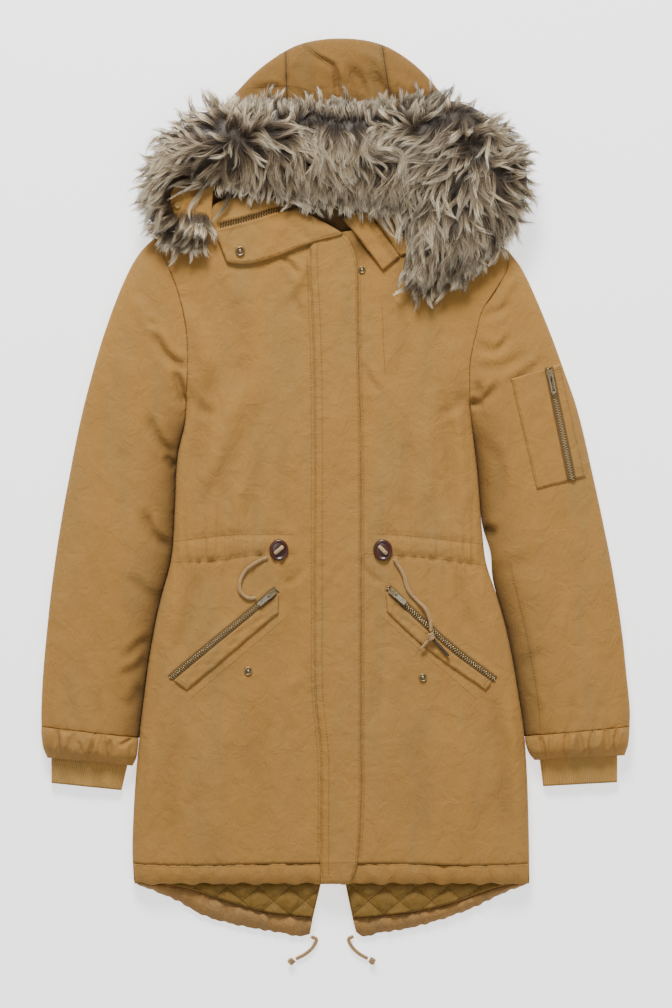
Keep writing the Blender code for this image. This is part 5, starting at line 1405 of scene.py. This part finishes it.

# ---------------------------------------------------------------- fur
# which way the fur lies, listed: x, y in mm and the direction there
FLOW = np.array([
    (-232, 420, -1, -.35), (-207, 447, -1, .2), (-169, 466, -.9, .5), (-194, 410, -1, -.15),
    (-151, 478, -.5, .85),
    (-130, 484, -.2, 1), (-113, 478, .1, 1), (-113, 456, .05, 1), (-169, 410, -.95, -.3),
    (-151, 422, -1, -.1),
    (-138, 403, -.75, -.65), (-119, 403, -.15, -1), (-107, 409, .35, -.95), (-88, 428, .9, -.35),
    (-69, 434, .95, -.2),
    (-57, 422, .75, -.65), (-82, 403, .4, -.9), (-63, 390, .35, -.95), (-44, 397, .3, -.95),
    (-19, 384, .15, -1),
    (-38, 422, .7, -.7), (-101, 378, .05, -1), (-126, 378, -.35, -.95), (-151, 390, -.8, -.6),
    (-88, 459, .6, .8),
    (-82, 466, .2, 1), (-57, 472, .1, 1), (-32, 474, 0, 1), (-7, 472, 0, 1), (-69, 447, .9, -.1),
    (-32, 447, .4, -.8),
    (-13, 434, -.2, -1), (6, 422, -.1, -1), (18, 384, .3, -.95), (37, 378, 0, -1), (62, 384, .1, -1),
    (81, 372, -.2, -1),
    (18, 466, 0, 1), (43, 472, .1, 1), (18, 441, .3, -.9), (62, 434, -.7, -.7), (81, 447, -1, .1),
    (62, 409, .9, .1),
    (81, 466, -.5, .8), (96, 466, .7, .7), (118, 474, .5, .85), (143, 476, .4, .9), (168, 480, .7, .7),
    (196, 470, .9, .5),
    (218, 447, 1, .2), (231, 422, 1, 0), (237, 390, 1, -.3), (237, 359, .85, -.55), (224, 334, .6, -.8),
    (206, 316, .4, -.9),
    (131, 447, -.4, -.9), (162, 460, -.3, -.95), (149, 422, -.8, -.5), (175, 430, .4, .6),
    (156, 409, -.7, -.7),
    (131, 384, -.8, -.5), (106, 403, -.8, -.5), (99, 378, -.9, -.2), (193, 422, .1, -1), (206, 409, .9, .2),
    (181, 384, -.2, -.9), (193, 366, .6, -.8), (168, 372, .2, -.9), (99, 359, -.35, -.95),
    (112, 341, -.15, -1),
    (131, 322, 0, -1), (143, 297, 0, -1), (118, 284, -.2, -1), (156, 334, .15, -1), (181, 334, .3, -.95),
    (168, 309, .15, -1),
    (-219, 378, -.9, -.4), (-226, 353, -.9, -.45), (-226, 328, -.7, -.7), (-207, 316, -.6, -.8),
    (-213, 309, -.8, -.6),
    (-182, 332, -.1, -1), (-163, 332, .2, -1), (-201, 359, -.9, -.3)])


def flow(p):
    d2 = (p[:, None, 0] - FLOW[None, :, 0]) ** 2 + (p[:, None, 1] - FLOW[None, :, 1]) ** 2
    w = 1 / (d2 + 50.0) ** 2
    v = (w[..., None] * FLOW[None, :, 2:]).sum(1)
    return v / np.maximum(np.linalg.norm(v, axis=1), 1e-9)[:, None]


def spread(p, v, angle):
    c, s = np.cos(angle), np.sin(angle)
    return np.stack([v[:, 0] * c - v[:, 1] * s, v[:, 0] * s + v[:, 1] * c], 1)


fur_out, fur_in = through(FUR_OUTER, 320), through(FUR_INNER, 320)
share = np.linspace(0, 1, 41)
tt = np.linspace(0, 1, 320)
fur_grid = fur_out[:, None] * (1 - share)[None, :, None] + fur_in[:, None] * share[None, :, None]
fur_ends = np.minimum(1.0, 0.45 + 6 * np.minimum(tt, 1 - tt))
SKIN_SHARE = 0.60
fur_high = FUR_BASE + 2 + SKIN_SHARE * (46.0 - 3) * np.sin(math.pi * share)[None] ** 0.6 * fur_ends[:, None]
# a map of the fur skin's height, 2.5 mm a cell, that falls away outside it
cell = 2.5
gx, gy = np.arange(-270, 275, cell), np.arange(215, 520, cell)
MX, MY = np.meshgrid(gx, gy)
flat = np.stack([MX.ravel(), MY.ravel()], 1)
gp, gh = fur_grid[::2].reshape(-1, 2), fur_high[::2].ravel()
near, dist = np.empty(len(flat)), np.empty(len(flat))
for k in range(0, len(flat), 4000):
    d2 = (flat[k:k + 4000, None, 0] - gp[None, :, 0]) ** 2 + (flat[k:k + 4000, None, 1] - gp[None, :, 1]) ** 2
    i = d2.argmin(1)
    near[k:k + 4000], dist[k:k + 4000] = gh[i], np.sqrt(d2[np.arange(len(i)), i])
HMAP = np.where(dist < 3.0, near, FUR_BASE + 1.5).reshape(MX.shape)
DMAP = np.clip(dist - 2.5, 0, 99).reshape(MX.shape)
for _ in range(3):
    HMAP[1:-1, 1:-1] = (HMAP[1:-1, 1:-1] * 4 + HMAP[:-2, 1:-1] + HMAP[2:, 1:-1] + HMAP[1:-1, :-2]
                        + HMAP[1:-1, 2:]) / 8


def read(grid, x, y):
    u = np.clip((x - gx[0]) / cell, 0, len(gx) - 1.001)
    v = np.clip((y - gy[0]) / cell, 0, len(gy) - 1.001)
    i, j = u.astype(int), v.astype(int)
    a_, b_ = u - i, v - j
    return ((grid[j, i] * (1 - a_) + grid[j, i + 1] * a_) * (1 - b_)
            + (grid[j + 1, i] * (1 - a_) + grid[j + 1, i + 1] * a_) * b_)


def fur_material(name, skin_only=False):
    m, t, bsdf = nodes_of(name)
    f = Maths(t)
    at = t.nodes.new("ShaderNodeAttribute")
    at.attribute_name = "hair"
    s3 = t.nodes.new("ShaderNodeSeparateXYZ")
    t.links.new(at.outputs["Vector"], s3.inputs[0])
    ramp = t.nodes.new("ShaderNodeValToRGB")
    stops = [(0.0, rgb(30, 22, 14)), (0.28, rgb(60, 47, 32)), (0.50, rgb(120, 102, 77)),
             (0.72, rgb(196, 179, 147)),
             (0.84, rgb(236, 224, 200)), (0.92, rgb(96, 80, 62)), (1.0, rgb(30, 22, 18))]
    e = ramp.color_ramp.elements
    while len(e) < len(stops):
        e.new(0.5)
    for el, (pos, col) in zip(sorted(e, key=lambda q: q.position), stops):
        el.position = pos
        el.color = (*col, 1)
    if skin_only:
        place = t.nodes.new("ShaderNodeTexCoord").outputs["Object"]
        t.links.new(f("MULTIPLY", f.noise(f.scaled(place, (1.0, 0.3, 1)), 420, 4.0, 0.7, 1.0), 0.42),
                    ramp.inputs["Fac"])
        t.links.new(ramp.outputs["Color"], bsdf.inputs["Base Color"])
    else:
        t.links.new(s3.outputs[0], ramp.inputs["Fac"])
        mix = t.nodes.new("ShaderNodeVectorMath")
        mix.operation = "SCALE"
        t.links.new(ramp.outputs["Color"], mix.inputs[0])
        t.links.new(f("ADD", 0.36, f("ADD", f("MULTIPLY", s3.outputs[1], 0.60),
                                     f("MULTIPLY", s3.outputs[2], 0.66))),
                    mix.inputs["Scale"])
        t.links.new(mix.outputs[0], bsdf.inputs["Base Color"])
    bsdf.inputs["Roughness"].default_value = 0.55
    bsdf.inputs["Specular IOR Level"].default_value = 0.35
    return m


FUR = fur_material("faux_fur")
G = fur_grid[::2, ::2]
H = fur_high[::2, ::2]
X, Y = G[..., 0].T, G[..., 1].T
ob = shell("fur_skin", X, Y, H.T, FUR_BASE + 0.2, mat=fur_material("fur_base", True),
           replaces="fur_trim", inward=3.0)


def fur_locks(clumps, hairs, seed, size=(38, 72), curl=0.85, roots=None, rise=9.0, outward=0.0, room=13.0):
    """Locks of hair: each starts at a point of the skin, follows the flow and gathers to a tip."""
    r = np.random.default_rng(seed)
    if roots is None:
        width = np.linalg.norm(fur_out - fur_in, axis=1) + 14
        t_ = r.choice(320, size=clumps, p=width / width.sum())
        s_ = r.uniform(0.03, 0.95, clumps)
        root = fur_out[t_] * (1 - s_)[:, None] + fur_in[t_] * s_[:, None] + r.normal(0, 2.5, (clumps, 2))
    else:
        root = roots + r.normal(0, 1.5, roots.shape)
        clumps = len(root)
    steps = 12
    centre = np.array([0.0, 380.0])
    long = r.uniform(size[0], size[1], clumps)
    swing, wave, phase = r.normal(0, 0.28, clumps), r.uniform(0.5, 1.0,
                                                              clumps) * curl, r.uniform(0, 6.28, clumps)
    turns = r.uniform(3.0, 6.5, clumps)
    for _ in range(4):
        P = np.empty((clumps, steps, 2))
        P[:, 0] = root
        for k in range(1, steps):
            v = flow(P[:, k - 1])
            if outward:
                v = v + (P[:, k - 1] - centre) / np.linalg.norm(P[:, k - 1] - centre,
                                                                axis=1)[:, None] * outward
                v /= np.linalg.norm(v, axis=1)[:, None]
            ang = swing + wave * np.sin(turns * k / steps + phase) * (0.35 + 0.65 * k / steps)
            P[:, k] = P[:, k - 1] + spread(P[:, k - 1], v, ang) * (long / (steps - 1))[:, None]
        out = read(DMAP, P[:, -1, 0], P[:, -1, 1])
        long = np.where(out > room, long * 0.8, long)
    # hairs of each lock
    N = clumps * hairs
    which = np.repeat(np.arange(clumps), hairs)
    ang, rad = r.uniform(0, 6.28, N), np.sqrt(r.uniform(0, 1, N)) * r.uniform(3.6, 6.6, clumps)[which]
    off = np.stack([np.cos(ang) * rad, np.sin(ang) * rad], 1)
    stray = (r.uniform(0, 1, N) < 0.14).astype(float)
    gather = np.clip(r.normal(0.78, 0.10, N), 0.4, 1.0) * (1 - 0.75 * stray)
    reach = r.uniform(0.72, 1.0, N)
    points = 7
    u = np.linspace(0, 1, points)
    line = np.empty((N, points, 3))
    level = r.uniform(0, 1, N)
    tall = rise * r.uniform(0.55, 1.25, clumps)[which]
    wob, wph = r.normal(0, 1.0, N), r.uniform(0, 6.28, N)
    for k in range(points):
        w = u[k] * reach * (steps - 1)
        i = np.minimum(w.astype(int), steps - 2)
        fr = (w - i)[:, None]
        c = P[which, i] * (1 - fr) + P[which, i + 1] * fr
        v = P[which, i + 1] - P[which, i]
        v /= np.maximum(np.linalg.norm(v, axis=1), 1e-9)[:, None]
        perp = np.stack([-v[:, 1], v[:, 0]], 1)
        close = 1 - gather * (u[k] ** 0.95)
        q = c + off * close[:, None] + perp * (wob * np.sin(u[k] * 5 + wph) * (0.5 + 2.4 * stray)
                                               * u[k])[:, None]
        base = read(HMAP, q[:, 0], q[:, 1])
        bell = (u[k] ** 0.7) * (1.0 - 0.52 * u[k] ** 2)
        line[:, k, :2] = q
        line[:, k, 2] = base - 1.5 + (2.5 + level * 4.5) * min(1, u[k] * 4 + 0.3) + tall * bell
    away = read(DMAP, line[..., 0], line[..., 1])
    line[..., 2] = np.clip(line[..., 2] - 0.30 * away * (u[None] ** 1.5), 36.6, 90.0)
    tone = np.clip(r.normal(0.52, 0.30, clumps) - 0.16 * np.clip((root[:, 0] + 40) / 80, 0, 1)
                   + 0.16 * np.clip((-40 - root[:, 0]) / 60, 0, 1)
                   - 0.75 * np.clip((root[:, 1] - 448) / 12, 0, 1) * (np.abs(root[:, 0] - 10) < 125), -0.28,
                   1)[which]
    own = r.uniform(0, 1, N)
    # dark tips on some locks, light ends on the others
    edge = np.clip(read(DMAP, P[:, -1, 0], P[:, -1, 1]) / 10, 0, 1)
    dark_tip = (r.uniform(0, 1, clumps) < 0.25 + 0.6 * edge)[which]
    fade = np.where(dark_tip, 1.0, 0.86)
    start = np.clip(r.normal(0.06, 0.1, N), 0, 0.3)
    col = start[:, None] + (fade - start)[:, None] * u[None]
    return line, col, own, tone


def hair_mesh(name, bundles, wide=0.42):
    line = np.concatenate([b[0] for b in bundles])
    col = np.concatenate([b[1] for b in bundles])
    own = np.concatenate([b[2] for b in bundles])
    tone = np.concatenate([b[3] for b in bundles])
    N, n = line.shape[:2]
    tan = np.gradient(line, axis=1)
    tan /= np.maximum(np.linalg.norm(tan, axis=2), 1e-9)[..., None]
    side = np.stack([-tan[..., 1], tan[..., 0], 0 * tan[..., 0]], -1)
    side /= np.maximum(np.linalg.norm(side, axis=2), 1e-9)[..., None]
    upv = np.cross(tan, side)
    roll = rng.uniform(-0.9, 0.9, N)[:, None, None]
    side = side * np.cos(roll) + upv * np.sin(roll)
    u = np.linspace(0, 1, n)
    w = wide / 2 * (0.55 + 0.45 * np.sin(math.pi
                                         * np.clip(u * 1.1, 0, 1))) * np.clip((1.02 - u) * 3.2, 0.10, 1)
    w = w[None, :, None] * rng.uniform(0.7, 1.25, N)[:, None, None]
    V = np.stack([line - side * w, line + side * w], axis=2).reshape(-1, 3)
    i = (np.arange(N) * n * 2)[:, None] + (np.arange(n - 1) * 2)[None]
    F = np.stack([i, i + 1, i + 3, i + 2], -1).reshape(-1, 4)
    ob = put(name, V, F, FUR)
    data = ob.data.attributes.new("hair", "FLOAT_VECTOR", "POINT")
    vec = np.stack([np.repeat(col.ravel(), 2), np.repeat(own, n * 2), np.repeat(tone, n * 2)], 1)
    data.data.foreach_set("vector", vec.astype(np.float32).ravel())
    return ob


detail = 1.0
main = fur_locks(int(1010 * detail), 33, 3, size=(42, 78), curl=0.78)
fill_roots = np.stack([rng.uniform(-130, -92, 40), rng.uniform(425, 462, 40)], 1)
fill_roots = np.concatenate([fill_roots, np.stack([rng.uniform(-60, 10, 60), rng.uniform(430, 460, 60)], 1),
                             np.stack([rng.uniform(60, 110, 40), rng.uniform(435, 462, 40)], 1),
                             np.stack([rng.uniform(-5, 30, 26), rng.uniform(450, 470, 26)], 1),
                             np.stack([rng.uniform(150, 215, 40), rng.uniform(400, 455, 40)], 1)])
fill = fur_locks(0, 22, 9, size=(26, 46), curl=0.9, roots=fill_roots, rise=9.0)
# the outer rim's shorter locks, the fringe over the hood and the tuft under the hood's corner
t_ = rng.integers(2, 318, int(150 * detail))
rim_roots = fur_out[t_] * 0.95 + fur_in[t_] * 0.05
rim_locks = fur_locks(0, 16, 5, size=(18, 36), curl=0.6, roots=rim_roots, rise=3.0, outward=1.1, room=15.0)
tuft_roots = np.stack([rng.uniform(-192, -160, 16), rng.uniform(333, 342, 16)], 1)
tuft = fur_locks(0, 26, 6, size=(30, 42), curl=0.5, roots=tuft_roots, rise=3.0, room=26.0)
bundle = tuple(np.concatenate(part) for part in zip(main, fill, rim_locks, tuft))
cut = bundle[0][:, 0, 0]
for word, low, high in (("right", -999, -60), ("middle", -60, 100), ("left", 100, 999)):
    use = (cut >= low) & (cut < high)
    hair_mesh("fur_hair_" + word, [tuple(b[use] for b in bundle)])

# ---------------------------------------------------------------- what the CAD model still shows
for name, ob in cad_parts.items():
    if name.endswith(("_slider", "_pull")):
        ob.data.materials.clear()
        ob.data.materials.append(NICKEL if name.endswith("_pull") else BRASS)
